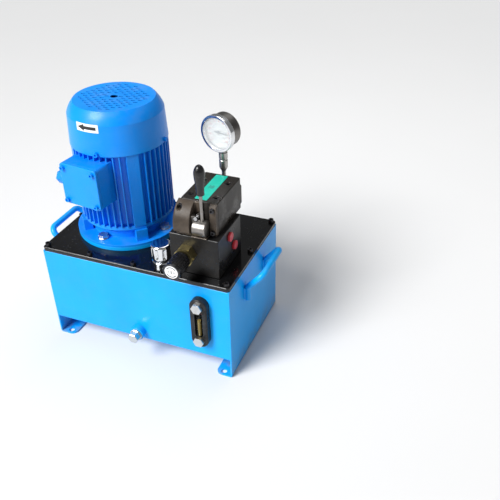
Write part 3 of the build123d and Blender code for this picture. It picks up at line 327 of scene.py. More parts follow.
@dataclass(frozen=True)
class BareMetal:
    """A plated, machined or polished metal, brushed or turned along one axis."""

    name: str
    colour: Colour
    tarnish: Colour
    roughness: float
    grain: float = 0.05
    stretch: Colour = (1.0, 1.0, 12.0)
    stain: float = 0.4
    rounding: float = 0.4

    def build(self) -> bpy.types.Material:
        """Lay tarnish in the colour and tool marks in the roughness and relief.

        Returns:
            The finished material.
        """
        shader = Shader(self.name)
        normal, edges = shader.rounded(self.rounding * MILLIMETRE)
        patches = shader.noise(70.0, 5.0).step(0.42, 0.72) * self.stain
        marks = shader.noise(260.0, 3.0, self.stretch)
        colour = shader.mix(patches, self.colour, self.tarnish)
        roughness = self.roughness + patches * 0.16 + marks * 0.10 - edges * 0.04
        normal = shader.bump(marks, self.grain, 0.2 * MILLIMETRE, normal)
        return shader.surface(Base_Color=colour, Metallic=1.0, Roughness=roughness.clamp(),
                              Normal=normal)


@dataclass(frozen=True)
class Casting:
    """A sand-cast or phosphated iron skin with bare metal along its edges."""

    name: str
    colour: Colour
    stain: Colour
    bare: Colour
    roughness: float = 0.5
    coarse: float = 0.35
    rounding: float = 1.2
    oily: float = 0.3

    def build(self) -> bpy.types.Material:
        """Mix two tones of the skin, pit it, and rub its edges bright.

        Returns:
            The finished material.
        """
        shader = Shader(self.name)
        normal, edges = shader.rounded(self.rounding * MILLIMETRE)
        tone = shader.noise(34.0, 6.0, roughness=0.65).step(0.36, 0.66)
        grit = shader.noise(900.0, 3.0)
        colour = shader.mix(tone, self.colour, self.stain)
        rub = (edges * (shader.noise(95.0, 5.0) * 0.9 + 0.35)).step(0.30, 0.75)
        colour = shader.mix(rub * 0.75, colour, self.bare)
        wet = shader.noise(24.0, 4.0).step(0.48, 0.70) * self.oily
        roughness = self.roughness + grit * 0.14 - wet * 0.5 - rub * 0.12
        pits = shader.cells(520.0).step(0.0, 0.35)
        skin = shader.noise(420.0, 5.0, roughness=0.7) * 0.7 + pits * 0.3
        normal = shader.bump(skin, self.coarse, 0.5 * MILLIMETRE, normal)
        return shader.surface(Base_Color=colour, Metallic=rub * 0.8, Roughness=roughness.clamp(),
                              Normal=normal, Specular_IOR_Level=0.24)


@dataclass(frozen=True)
class Moulding:
    """Moulded plastic or rubber, with a faint grain, scuffs and settled dust."""

    name: str
    colour: Colour
    scuff: Colour
    roughness: float = 0.35
    grain: float = 0.06

    def build(self) -> bpy.types.Material:
        """Scuff the edges and grain the faces.

        Returns:
            The finished material.
        """
        shader = Shader(self.name)
        normal, edges = shader.rounded(0.5 * MILLIMETRE)
        marks = shader.noise(150.0, 5.0).step(0.52, 0.74)
        colour = shader.mix((marks * 0.22 + edges * 0.35).clamp(), self.colour, self.scuff)
        roughness = self.roughness + marks * 0.18 + shader.noise(40.0, 3.0) * 0.08
        normal = shader.bump(shader.noise(800.0, 3.0), self.grain, 0.2 * MILLIMETRE, normal)
        return shader.surface(Base_Color=colour, Roughness=roughness.clamp(), Normal=normal)


@dataclass(frozen=True)
class Print:
    """A printed or stuck-on face: flat ink with faint fading and rubbed spots."""

    name: str
    colour: Colour
    faded: Colour
    roughness: float = 0.4

    def build(self) -> bpy.types.Material:
        """Fade the ink in clouds and give it a paper-fine relief.

        Returns:
            The finished material.
        """
        shader = Shader(self.name)
        normal = shader.node("ShaderNodeNewGeometry").outputs["Normal"]
        fade = shader.noise(120.0, 5.0).step(0.40, 0.72)
        colour = shader.mix(fade * 0.6, self.colour, self.faded)
        roughness = self.roughness + fade * 0.15
        normal = shader.bump(shader.noise(1500.0, 2.0), 0.05, 0.1 * MILLIMETRE, normal)
        return shader.surface(Base_Color=colour, Roughness=roughness, Normal=normal)


@dataclass(frozen=True)
class Glass:
    """Clear glass or acrylic that light passes straight through."""

    name: str
    tint: Colour
    clear: float = 0.88

    def build(self) -> bpy.types.Material:
        """Mix a transparent and a glossy surface, with finger marks in the gloss.

        Returns:
            The finished material.
        """
        shader = Shader(self.name)
        marks = shader.noise(90.0, 4.0).step(0.50, 0.78)
        gloss = shader.node("ShaderNodeBsdfPrincipled", {}, {
            "Base Color": GLOSS_BLACK, "Roughness": 0.04 + marks * 0.25,
            "Specular IOR Level": 0.5})
        through = shader.node("ShaderNodeBsdfTransparent", {}, {"Color": self.tint})
        share = (1.0 - self.clear) + marks * 0.01
        mixed = shader.node("ShaderNodeMixShader", {}, {
            0: share.clamp(), 1: through.outputs[0], 2: gloss.outputs[0]})
        shader.node("ShaderNodeOutputMaterial", {}, {"Surface": mixed.outputs[0]})
        return shader.material


@dataclass(frozen=True)
class SplitScrews:
    """Small screws that are painted over on one side of the unit and bare on the other."""

    name: str
    paint: Colour
    metal: Colour
    border: float

    def build(self) -> bpy.types.Material:
        """Paint the screws that lie below the border along X and leave the others dark metal.

        Returns:
            The finished material.
        """
        shader = Shader(self.name)
        normal, _ = shader.rounded(0.3 * MILLIMETRE)
        place = shader.node("ShaderNodeSeparateXYZ", {}, {0: shader.coordinates})
        bare = Value(shader, place.outputs["X"]).step(self.border - 0.001, self.border + 0.001)
        tone = shader.noise(220.0, 4.0)
        colour = shader.mix(bare, self.paint, self.metal)
        roughness = 0.30 + tone * 0.14
        normal = shader.bump(shader.noise(500.0, 3.0), 0.12, 0.2 * MILLIMETRE, normal)
        return shader.surface(Base_Color=colour, Metallic=bare, Roughness=roughness.clamp(),
                              Normal=normal, Specular_IOR_Level=0.3)


class Skin(Enum):
    """Every finish on the unit, named for what it covers."""

    TANK = Enamel("tank_blue", (0.0, 0.40, 0.97), (0.0, 0.355, 0.90), (0.06, 0.56, 0.98))
    MOTOR_CAST = Enamel("motor_blue_cast", (0.0, 0.275, 0.95), (0.0, 0.235, 0.86),
                        (0.06, 0.42, 0.95), roughness=0.36, casting=0.30, wear=0.4)
    MOTOR_SHEET = Enamel("motor_blue_sheet", (0.0, 0.295, 0.96), (0.0, 0.26, 0.89),
                         (0.05, 0.42, 0.95), roughness=0.33, peel=0.12, wear=0.25)
    LID = BlackGloss("lid_black")
    MANIFOLD = Casting("manifold_black", (0.007, 0.007, 0.008), (0.014, 0.013, 0.012),
                       (0.16, 0.15, 0.14), roughness=0.26, coarse=0.10, rounding=0.7)
    VALVE = Casting("valve_phosphate", (0.018, 0.015, 0.013), (0.032, 0.027, 0.022),
                    (0.13, 0.12, 0.11), roughness=0.36, coarse=0.24, rounding=1.4, oily=0.5)
    HOUSING = Casting("lever_housing_cast", (0.085, 0.066, 0.050), (0.045, 0.035, 0.027),
                      (0.24, 0.21, 0.18), roughness=0.44, coarse=0.42, rounding=2.0, oily=0.4)
    CHROME = BareMetal("chrome_bright", (0.80, 0.81, 0.83), (0.50, 0.50, 0.50), 0.07, 0.02,
                       (1.0, 1.0, 1.0), 0.25)
    LEVER = BareMetal("lever_steel", (0.34, 0.32, 0.30), (0.17, 0.155, 0.14), 0.30, 0.12)
    ZINC = BareMetal("zinc_plated", (0.66, 0.66, 0.64), (0.42, 0.40, 0.34), 0.26, 0.08,
                     (1.0, 1.0, 1.0), 0.6)
    STEEL = BareMetal("machined_steel", (0.50, 0.50, 0.51), (0.30, 0.27, 0.24), 0.28, 0.10)
    FITTING = BareMetal("gauge_fitting", (0.50, 0.49, 0.47), (0.26, 0.25, 0.23), 0.28, 0.12,
                        (1.0, 1.0, 9.0), 0.6)
    SIGHT_FRAME = Casting("sight_frame_black", (0.010, 0.011, 0.012), (0.030, 0.032, 0.034),
                          (0.32, 0.33, 0.34), roughness=0.24, coarse=0.12, rounding=1.0)
    ALLOY = BareMetal("cast_alloy", (0.62, 0.62, 0.63), (0.40, 0.40, 0.40), 0.42, 0.30,
                      (1.0, 1.0, 1.0), 0.6)
    CORE = BareMetal("core_laminations", (0.30, 0.30, 0.32), (0.16, 0.13, 0.11), 0.40, 0.4,
                     (1.0, 1.0, 8.0), 0.7)
    RELIEF = BareMetal("relief_passivated", (0.46, 0.38, 0.17), (0.25, 0.20, 0.10), 0.30, 0.12,
                       (1.0, 1.0, 1.0), 0.8)
    GAUGE_CASE = BareMetal("gauge_case_steel", (0.20, 0.19, 0.18), (0.09, 0.08, 0.08), 0.30, 0.10,
                           (1.0, 1.0, 1.0), 0.6)
    BLACK_OXIDE = BareMetal("black_oxide_screw", (0.05, 0.05, 0.055), (0.12, 0.08, 0.05), 0.35,
                            0.10, (1.0, 1.0, 1.0), 0.4)
    GRIP = Moulding("grip_black", (0.008, 0.008, 0.009), (0.07, 0.07, 0.07), 0.16, 0.03)
    KNOB = Moulding("knob_black", (0.009, 0.009, 0.010), (0.08, 0.08, 0.08), 0.20, 0.04)
    FAN = Moulding("fan_black", (0.02, 0.02, 0.022), (0.10, 0.10, 0.10), 0.5)
    PLUG = Moulding("plug_red", (0.62, 0.030, 0.045), (0.80, 0.20, 0.22), 0.32)
    SPIDER = Moulding("spider_orange", (0.62, 0.13, 0.03), (0.75, 0.30, 0.15), 0.4)
    RUBBER = Moulding("gasket_black", (0.015, 0.015, 0.015), (0.06, 0.06, 0.06), 0.7)
    DIAL = Print("dial_white", (0.50, 0.50, 0.48), (0.44, 0.44, 0.42))
    STICKER = Print("sticker_white", (0.88, 0.89, 0.90), (0.80, 0.82, 0.84))
    BLACK_INK = Print("ink_black", (0.012, 0.012, 0.012), (0.03, 0.03, 0.03))
    RED_INK = Print("ink_red", (0.48, 0.03, 0.035), (0.55, 0.10, 0.10))
    GREY_INK = Print("ink_grey", (0.05, 0.06, 0.07), (0.09, 0.10, 0.11))
    TURQUOISE = Print("label_turquoise", (0.0, 0.52, 0.38), (0.03, 0.60, 0.46), 0.30)
    OIL = Print("sight_oil", (0.45, 0.27, 0.06), (0.52, 0.34, 0.10), 0.15)
    GLASS = Glass("clear_glass", (0.985, 0.99, 0.99), 0.975)
    SIGHT = Glass("sight_acrylic", (0.93, 0.97, 0.97), 0.86)
    COVER_SCREWS = SplitScrews("cover_screws", (0.0, 0.275, 0.95), (0.06, 0.06, 0.065), 0.07)

    def material(self) -> bpy.types.Material:
        """This finish's material, built the first time it is asked for."""
        return bpy.data.materials.get(self.value.name) or self.value.build()


def dress(skin: Skin, *nodes: str) -> None:
    """Give CAD nodes a finish.

    Args:
        skin: The finish.
        nodes: The nodes' names.
    """
    for name in nodes:
        for slot in frame["nodes"][name].material_slots:
            slot.material = skin.material()


# Surfaces

@dataclass(frozen=True)
class Seat:
    """A place with three square directions, where a shape is drawn."""

    origin: Array
    right: Array
    up: Array
    out: Array

    @staticmethod
    def facing(origin: Any, right: Any, out: Any) -> "Seat":
        """A seat whose up direction follows from its right and its out."""
        right, out = np.array(right, float), np.array(out, float)
        return Seat(np.array(origin, float), right, np.cross(out, right), out)

    @staticmethod
    def front(origin: Any) -> "Seat":
        """An upright seat that looks towards -Y."""
        return Seat.facing(origin, (1, 0, 0), (0, -1, 0))

    @staticmethod
    def level(origin: Any) -> "Seat":
        """A level seat that looks up."""
        return Seat.facing(origin, (1, 0, 0), (0, 0, 1))

    def place(self, right: Array, up: Array, out: Array) -> Array:
        """Points at these distances along the seat's directions: o + r R + u U + n N."""
        return (self.origin + right[..., None] * self.right + up[..., None] * self.up
                + out[..., None] * self.out)


def solid(name: str, grid: Array, skin: Skin, body: str,
          sharp: float = 32.0) -> bpy.types.Object:
    """Make a piece from a grid of points.

    The grid's rows run along the shape and its columns go round it. Each cell is one
    quad, and the first and last rows are closed by one face each. The shell's signed
    volume, the sum of a . (b x c) over its triangles, decides which way its faces turn.

    Args:
        name: The piece's name.
        grid: Points, as rows x columns x 3, or shells x rows x columns x 3.
        skin: Its finish.
        body: The body it rides on.
        sharp: Edges that turn more than this, in degrees, stay sharp.

    Returns:
        The piece.
    """
    shells = grid[None] if grid.ndim == 3 else grid
    count, rows, columns = shells.shape[:3]
    number = np.arange(rows * columns).reshape(rows, columns)
    around = np.roll(number, -1, 1)
    low, high = number[:-1], number[1:]
    near, far = around[:-1], around[1:]
    quads = np.stack([low, near, far, high], -1).reshape(-1, 4)
    points = shells[0].reshape(-1, 3)
    a, b, c, d = (points[quads[:, i]] - points.mean(0) for i in range(4))
    volume = np.einsum("ij,ij", a, np.cross(b, c) + np.cross(c, d))
    ends = [number[0][::-1], number[-1]]
    if volume < 0:
        quads = quads[:, ::-1]
        ends = [end[::-1] for end in ends]
    offsets = np.arange(count) * rows * columns
    quads = (quads[None] + offsets[:, None, None]).reshape(-1, 4)
    caps = (np.stack(ends)[None] + offsets[:, None, None]).reshape(-1, columns)
    mesh = bpy.data.meshes.new(name)
    mesh.from_pydata(shells.reshape(-1, 3).tolist(), [], quads.tolist() + caps.tolist())
    mesh.polygons.foreach_set("use_smooth", np.ones(len(mesh.polygons), bool))
    mesh.set_sharp_from_angle(angle=math.radians(sharp))
    return join_in(name, mesh, skin, body)


def join_in(name: str, mesh: bpy.types.Mesh, skin: Skin, body: str) -> bpy.types.Object:
    """Put a finished mesh into the scene as a piece that rides on a body.

    Args:
        name: The piece's name.
        mesh: Its mesh, with its place in it.
        skin: Its finish.
        body: The body it rides on.

    Returns:
        The piece.
    """
    mesh.materials.append(skin.material())
    piece = bpy.data.objects.new(name, mesh)
    bpy.context.scene.collection.objects.link(piece)
    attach(piece, body)
    log.info("%s: %d faces on %s", name, len(mesh.polygons), body)
    return piece


def lathe(seat: Seat, profile: Any, segments: int = 96, ripple: Any = None) -> Array:
    """A surface of revolution: p = o + h N + r (cos a R + sin a U), with r scaled by a ripple.

    Args:
        seat: The axis is its out direction.
        profile: (radius, height) pairs, in metres, from one end to the other.
        segments: Columns round the axis.
        ripple: A function of the height and angle grids that gives a factor on the radius.

    Returns:
        The grid of points.
    """
    pairs = np.array(profile, float)
    radius, height = pairs[:, :1], pairs[:, 1:]
    angle = np.linspace(0, 2 * np.pi, segments, endpoint=False)[None, :]
    spread = radius * (ripple(height, angle) if ripple else np.ones_like(angle))
    return seat.place(spread * np.cos(angle), spread * np.sin(angle), height + 0 * angle)


def softened(profile: Any, radius: float, steps: int = 5) -> Array:
    """A profile whose inner corners are replaced by short parabolas.

    Each corner b between a and c becomes (1-t)^2 p + 2t(1-t) b + t^2 q, where p and q lie
    on its two sides, at most the radius or 0.45 of the side away.

    Args:
        profile: (radius, height) pairs.
        radius: How far from the corner the curve starts.
        steps: Points on each curve.

    Returns:
        The softened pairs.
    """
    points = np.array(profile, float)
    before, corner, after = points[:-2], points[1:-1], points[2:]
    reach_in = np.linalg.norm(before - corner, axis=1, keepdims=True)
    reach_out = np.linalg.norm(after - corner, axis=1, keepdims=True)
    start = corner + (before - corner) / reach_in * np.minimum(radius, 0.45 * reach_in)
    end = corner + (after - corner) / reach_out * np.minimum(radius, 0.45 * reach_out)
    t = np.linspace(0, 1, steps)[None, :, None]
    curve = (1 - t) ** 2 * start[:, None] + 2 * t * (1 - t) * corner[:, None] + t**2 * end[:, None]
    return np.concatenate([points[:1], curve.reshape(-1, 2), points[-1:]])


def refined(profile: Array, index: int, parts: int) -> Array:
    """A profile whose side after one point is cut into equal parts.

    Args:
        profile: (radius, height) pairs.
        index: The side's first point.
        parts: How many parts it is cut into.

    Returns:
        The longer profile.
    """
    step = np.linspace(0, 1, parts + 1)[1:-1, None]
    fill = profile[index] + step * (profile[index + 1] - profile[index])
    return np.concatenate([profile[:index + 1], fill, profile[index + 1:]])


def plate(seat: Seat, outline: Array, thickness: float, rim: float = 0.0) -> Array:
    """A flat plate: its outline at the seat, then raised by its thickness, with a soft rim.

    Args:
        seat: The outline lies in its right and up directions.
        outline: (right, up) pairs round the plate.
        thickness: How far it stands out.
        rim: How far the top edge draws in.

    Returns:
        The grid of points.
    """
    flat = np.array(outline, float)
    inward = flat.mean(0) - flat
    inward /= np.linalg.norm(inward, axis=1, keepdims=True)
    rows = [(0.0, 0.0), (0.0, thickness - rim), (rim, thickness)]
    layers = [flat + inward * shift for shift, _ in rows]
    return np.stack([seat.place(layer[:, 0], layer[:, 1], np.full(len(layer), rise))
                     for layer, (_, rise) in zip(layers, rows)])


def rounded_rectangle(width: float, height: float, radius: float, steps: int = 6) -> Array:
    """The outline of a rectangle with round corners: each corner's arc about its own centre."""
    turn = np.linspace(0, np.pi / 2, steps)[None, :] + np.arange(4)[:, None] * np.pi / 2
    sign = np.array([(1, 1), (-1, 1), (-1, -1), (1, -1)], float)
    centre = sign * (width / 2 - radius, height / 2 - radius)
    arc = np.stack([np.cos(turn), np.sin(turn)], -1) * radius + centre[:, None]
    return arc.reshape(-1, 2)


def ticks(seat: Seat, angles: Array, inner: float, outer: float, width: float,
          rise: float) -> Array:
    """Radial marks on a dial, as one thin bar for each angle.

    A bar's corner is (r cos a - w sin a, r sin a + w cos a), for r inner or outer and w
    half the width either way.

    Args:
        seat: The dial's face.
        angles: The marks' angles in radians.
        inner: Their inner radius.
        outer: Their outer radius.
        width: Their width.
        rise: Their thickness.

    Returns:
        Shells x rows x columns x 3 points.
    """
    radius = np.array([inner, outer, outer, inner])[None, None, :]
    across = np.array([-width, -width, width, width])[None, None, :] / 2
    lift = np.array([0.0, rise])[None, :, None]
    turn = np.asarray(angles, float)[:, None, None]
    right = radius * np.cos(turn) - across * np.sin(turn)
    up = radius * np.sin(turn) + across * np.cos(turn)
    shape = np.broadcast_shapes(right.shape, lift.shape)
    return seat.place(*(np.broadcast_to(part, shape) for part in (right, up, lift)))


def arc_band(seat: Seat, start: float, end: float, inner: float, outer: float, rise: float,
             steps: int = 72) -> Array:
    """A printed arc: a rectangle (inner..outer by rise) carried round from start to end.

    Args:
        seat: The dial's face.
        start: First angle in radians.
        end: Last angle in radians.
        inner: Inner radius.
        outer: Outer radius.
        rise: Thickness.
        steps: Rows along the arc.

    Returns:
        The grid of points.
    """
    turn = np.linspace(start, end, steps)[:, None]
    radius = np.array([inner, outer, outer, inner])[None, :]
    lift = np.array([0.0, 0.0, rise, rise])[None, :] + 0 * turn
    return seat.place(radius * np.cos(turn), radius * np.sin(turn), lift)


def bead(start: Array, end: Array, radius: float, ripples: int, side: Array) -> Array:
    """A weld bead: a tube whose radius rises and falls, R (1 + 0.16 |sin k s|), with round ends.

    Args:
        start: First point of its centre line.
        end: Last point.
        radius: The tube's radius.
        ripples: How many beads lie along it.
        side: Any direction across the line.

    Returns:
        The grid of points.
    """
    along = (end - start) / np.linalg.norm(end - start)
    first = np.cross(along, side) / np.linalg.norm(np.cross(along, side))
    second = np.cross(along, first)
    s = np.linspace(0, 1, ripples * 8 + 1)[:, None]
    turn = np.linspace(0, 2 * np.pi, 16, endpoint=False)[None, :]
    swell = radius * (1 + 0.16 * np.abs(np.sin(np.pi * ripples * s)))
    swell = swell * np.sqrt(np.clip(1 - (2 * s - 1) ** 12, 0.02, 1))
    ring = np.cos(turn)[..., None] * first + np.sin(turn)[..., None] * second
    return start + s[..., None] * (end - start) + swell[..., None] * ring


def numerals(name: str, seat: Seat, words: dict[str, tuple[float, float]], size: float,
             skin: Skin, body: str) -> bpy.types.Object:
    """Plain numbers printed on a face, turned to a mesh and laid in place.

    Args:
        name: The piece's name.
        seat: The face.
        words: Each number and where its middle lies, as (right, up) in metres.
        size: The figures' height.
        skin: The ink.
        body: The body it rides on.

    Returns:
        The piece.
    """
    points: list[Array] = []
    faces: list[list[int]] = []
    total = 0
    for word, (right, up) in words.items():
        curve = bpy.data.curves.new(f"{name}_text", "FONT")
        curve.body = word
        curve.size = size
        curve.align_x = "CENTER"
        curve.align_y = "CENTER"
        curve.extrude = 0.00006
        curve.offset = 0.00016
        holder = bpy.data.objects.new(f"{name}_text", curve)
        mesh = bpy.data.meshes.new_from_object(holder)
        flat = np.empty(len(mesh.vertices) * 3)
        mesh.vertices.foreach_get("co", flat)
        flat = flat.reshape(-1, 3)
        points.append(seat.place(flat[:, 0] + right, flat[:, 1] + up, flat[:, 2]))
        faces += [[total + v for v in face.vertices] for face in mesh.polygons]
        total += len(flat)
        bpy.data.objects.remove(holder)
        bpy.data.curves.remove(curve)
        bpy.data.meshes.remove(mesh)
    made = bpy.data.meshes.new(name)
    made.from_pydata(np.concatenate(points).tolist(), [], faces)
    return join_in(name, made, skin, body)


# Sub-assemblies

@dataclass
class Tank:
    """The welded oil tank with its lid, handles, drain and level gauge."""

    bead_radius: float = 0.0019
    handle_bar: float = 0.012
    leg_spacing: float = 0.096
    weld_length: float = 0.026
    weld_ripples: int = 7
    leg_edge: float = 0.36
    oil_share: float = 0.62
    oil_radius: float = 0.0034
    strip_width: float = 0.0135
    mark_width: float = 0.0130
    mark_shares: tuple[float, float] = (0.2, 0.8)

    def dress(self) -> None:
        """Paint the tank and lid, and plate its fasteners."""
        dress(Skin.TANK, "tank_shell", "tank_side_left", "tank_side_right", "carry_handles",
              "drain_boss")
        dress(Skin.LID, "lid_plate")
        dress(Skin.RUBBER, "lid_gasket")
        dress(Skin.ZINC, "drain_plug", "level_gauge_bolts", "flange_bolts")
        dress(Skin.BLACK_OXIDE, "lid_screws")
        dress(Skin.COVER_SCREWS, "small_cover_screws")
        dress(Skin.SIGHT_FRAME, "level_gauge_frame")
        dress(Skin.SIGHT, "level_gauge_tube")

    def weld_handles(self) -> None:
        """Lay a bead along each side of every handle leg."""
        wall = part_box("tank_side_right")[1].x
        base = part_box("carry_handles")[0].z + MILLIMETRE
        grids = []
        for side in (-1, 1):
            for leg in (-1, 1):
                for edge in (-1, 1):
                    x = side * (wall + self.bead_radius * 0.5)
                    y = leg * self.leg_spacing / 2 + edge * self.handle_bar * self.leg_edge
                    grids.append(bead(np.array((x, y, base)),
                                      np.array((x, y, base + self.weld_length)),
                                      self.bead_radius, self.weld_ripples, np.array((1.0, 0, 0))))
        solid("handle_welds", np.stack(grids), Skin.TANK, "unit", sharp=180)

    def fill_sight(self) -> None:
        """Stand the oil column, its pale backing strip and two level marks in the sight glass."""
        low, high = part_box("level_gauge_tube")
        centre = (low + high) / 2
        length = high.z - low.z
        axis = Seat.level((centre.x, centre.y, low.z + 0.0006))
        level = length * self.oil_share
        profile = softened([(POLE, 0), (self.oil_radius, 0), (self.oil_radius, level),
                            (POLE, level)], 0.0006)
        solid("sight_oil", lathe(axis, profile, 32), Skin.OIL, "unit")
        back = Seat.front((centre.x, high.y + 0.0012, centre.z))
        outline = rounded_rectangle(self.strip_width, length - 0.002, 0.002)
        strip = plate(back, outline, 0.0006, PRINT)
        solid("sight_backing", strip, Skin.STICKER, "unit")
        marks = [plate(Seat.facing((centre.x, high.y + 0.0006, low.z + share * length),
                                   (1, 0, 0), (0, -1, 0)),
                       rounded_rectangle(self.mark_width, 0.0012, 0.0004), 0.0003)
                 for share in self.mark_shares]
        solid("sight_marks", np.stack(marks), Skin.RED_INK, "unit")


@dataclass
class Breather:
    """The bright filler neck and its fluted cap."""

    flutes: int = 8
    flute_depth: float = 0.17
    bore_radius: float = 0.0113
    bore_depth: float = 0.010

    def build(self) -> None:
        """Turn the cap, scalloped between its rims: r = R (1 - d max(0, cos(n a))^1.5)."""
        dress(Skin.CHROME, "breather_base")
        low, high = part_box("breather_cap")
        centre = (low + high) / 2
        radius, height = (high.x - low.x) / 2, high.z - low.z
        seat = Seat.level((centre.x, centre.y, low.z))
        bore_end = height - self.bore_depth
        outline = softened([(POLE, bore_end), (self.bore_radius, bore_end),
                            (self.bore_radius, 0.0), (radius * 0.97, 0.0), (radius, 0.002),
                            (radius, height - 0.003), (radius * 0.86, height - 0.0004),
                            (radius * 0.3, height), (POLE, height)], 0.0022, 6)
        profile = refined(outline, int(np.argmax(np.diff(outline[:, 1]))), 8)

        def scallop(level: Array, angle: Array) -> Array:
            """The factor on the radius at each height and angle."""
            within = np.clip(np.minimum(level - 0.004, height - 0.0045 - level) / 0.0018, 0, 1)
            within = within * within * (3 - 2 * within)
            groove = np.clip(np.cos(self.flutes * angle), 0, 1) ** 1.5
            return 1 - self.flute_depth * within * groove

        cap = solid("breather_cap_fluted", lathe(seat, profile, 160, scallop), Skin.CHROME,
                    "filler_cap", sharp=60)
        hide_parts("breather_cap")


@dataclass
class Motor:
    """The flange motor, its cowl, its wiring box and everything that turns inside."""

    arrow_start: float = -108.4
    arrow_end: float = -79.0
    sticker_height: float = 0.0145
    sticker_drop: float = 0.0185
    band_height: float = 0.0075
    band_lift: float = 0.00012
    cowl_shoulder: float = 0.021
    cowl_taper: float = 0.003
    arrow_head: float = 0.34

    def dress(self) -> None:
        """Paint the castings and the sheet parts, and finish the inner parts."""
        dress(Skin.MOTOR_CAST, "motor_flange", "motor_frame", "motor_end_shield", "terminal_box",
              "cable_gland")
        dress(Skin.MOTOR_SHEET, "fan_cover", "terminal_box_lid")
        dress(Skin.CORE, "stator", "rotor_core")
        dress(Skin.STEEL, "motor_shaft", "motor_bearings")
        dress(Skin.FAN, "motor_fan")

    def band(self) -> None:
        """Lay a band of the tank's lighter blue round the lower edge of the flange: a painted
        highlight of its lit rim.
        """
        low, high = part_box("motor_flange")
        centre = (low + high) / 2
        seat = Seat.level((centre.x, centre.y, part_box("lid_plate")[1].z))
        wall = (high.x - low.x) / 2
        inner, outer = wall - 0.0002, wall + self.band_lift
        profile = [(inner, 0.0003), (outer, 0.0003), (outer, self.band_height),
                   (inner, self.band_height)]
        ring = lathe(seat, [*profile, profile[0]], 160)
        # Painted highlight: the lighter blue band stands in for the bright lit lower rim of the
        # flange.
        solid("flange_painted_highlight_band", ring, Skin.TANK, "unit", sharp=40)

    def label(self) -> None:
        """Stick the white turning-direction plate, with a plain arrow, on the cowl's front.

        The plate is a patch (a, z) -> (r cos a, r sin a, z) on the cowl's slightly
        tapering wall. The arrow is the same patch with half-height w(s): it grows
        along the head, then stays narrow along the shaft.
        """
        low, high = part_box("fan_cover")
        centre = (low + high) / 2
        seat = Seat.level((centre.x, centre.y, 0))
        base = (high.x - low.x) / 2
        top = high.z - self.sticker_drop
        taper = self.cowl_taper / (high.z - self.cowl_shoulder - low.z)

        def patch(angle: Array, z: Array, thickness: float, lift: float) -> Array:
            """A closed sheet over the wall between two grids of angle and height."""
            wall = base - (z - low.z) * taper + lift
            inner, outer = (seat.place(r * np.cos(angle), r * np.sin(angle), z)
                            for r in (wall, wall + thickness))
            return np.concatenate([outer, inner[:, ::-1]], 1)

        turn = np.radians(np.linspace(self.arrow_start, self.arrow_end, 25))[:, None]
        rise = np.linspace(top - self.sticker_height, top, 5)[None, :]
        sheet = patch(turn + 0 * rise, rise + 0 * turn, 0.00025, 0.00005)
        solid("turning_plate", sheet, Skin.STICKER, "unit", sharp=40)
        head = self.arrow_head
        s = np.concatenate([np.linspace(0, head, 9), np.linspace(head + 0.0001, 0.92, 22)])
        s = s[:, None]
        half = np.where(s <= head, s / head * 0.0058 + 0.0001, 0.0027)
        first, last = np.radians((self.arrow_start, self.arrow_end))
        angle = first + (last - first) * (0.07 + 0.9 * s)
        across = np.linspace(-1, 1, 5)[None, :]
        level = top - self.sticker_height / 2
        arrow = patch(angle + 0 * across, level + half * across, 0.0002, 0.0003)
        solid("turning_arrow", arrow, Skin.BLACK_INK, "unit", sharp=40)


@dataclass
class HydraulicDrive:
    """The coupling, bell housing, gear pump, strainer and pipes inside the tank."""

    def dress(self) -> None:
        """Finish the parts that hang in the oil."""
        dress(Skin.ALLOY, "coupling_jaws", "bell_housing", "pump_body", "pump_covers")
        dress(Skin.SPIDER, "coupling_spider")
        dress(Skin.STEEL, "drive_gear", "driven_gear", "tank_pipes")
        dress(Skin.ZINC, "suction_strainer")


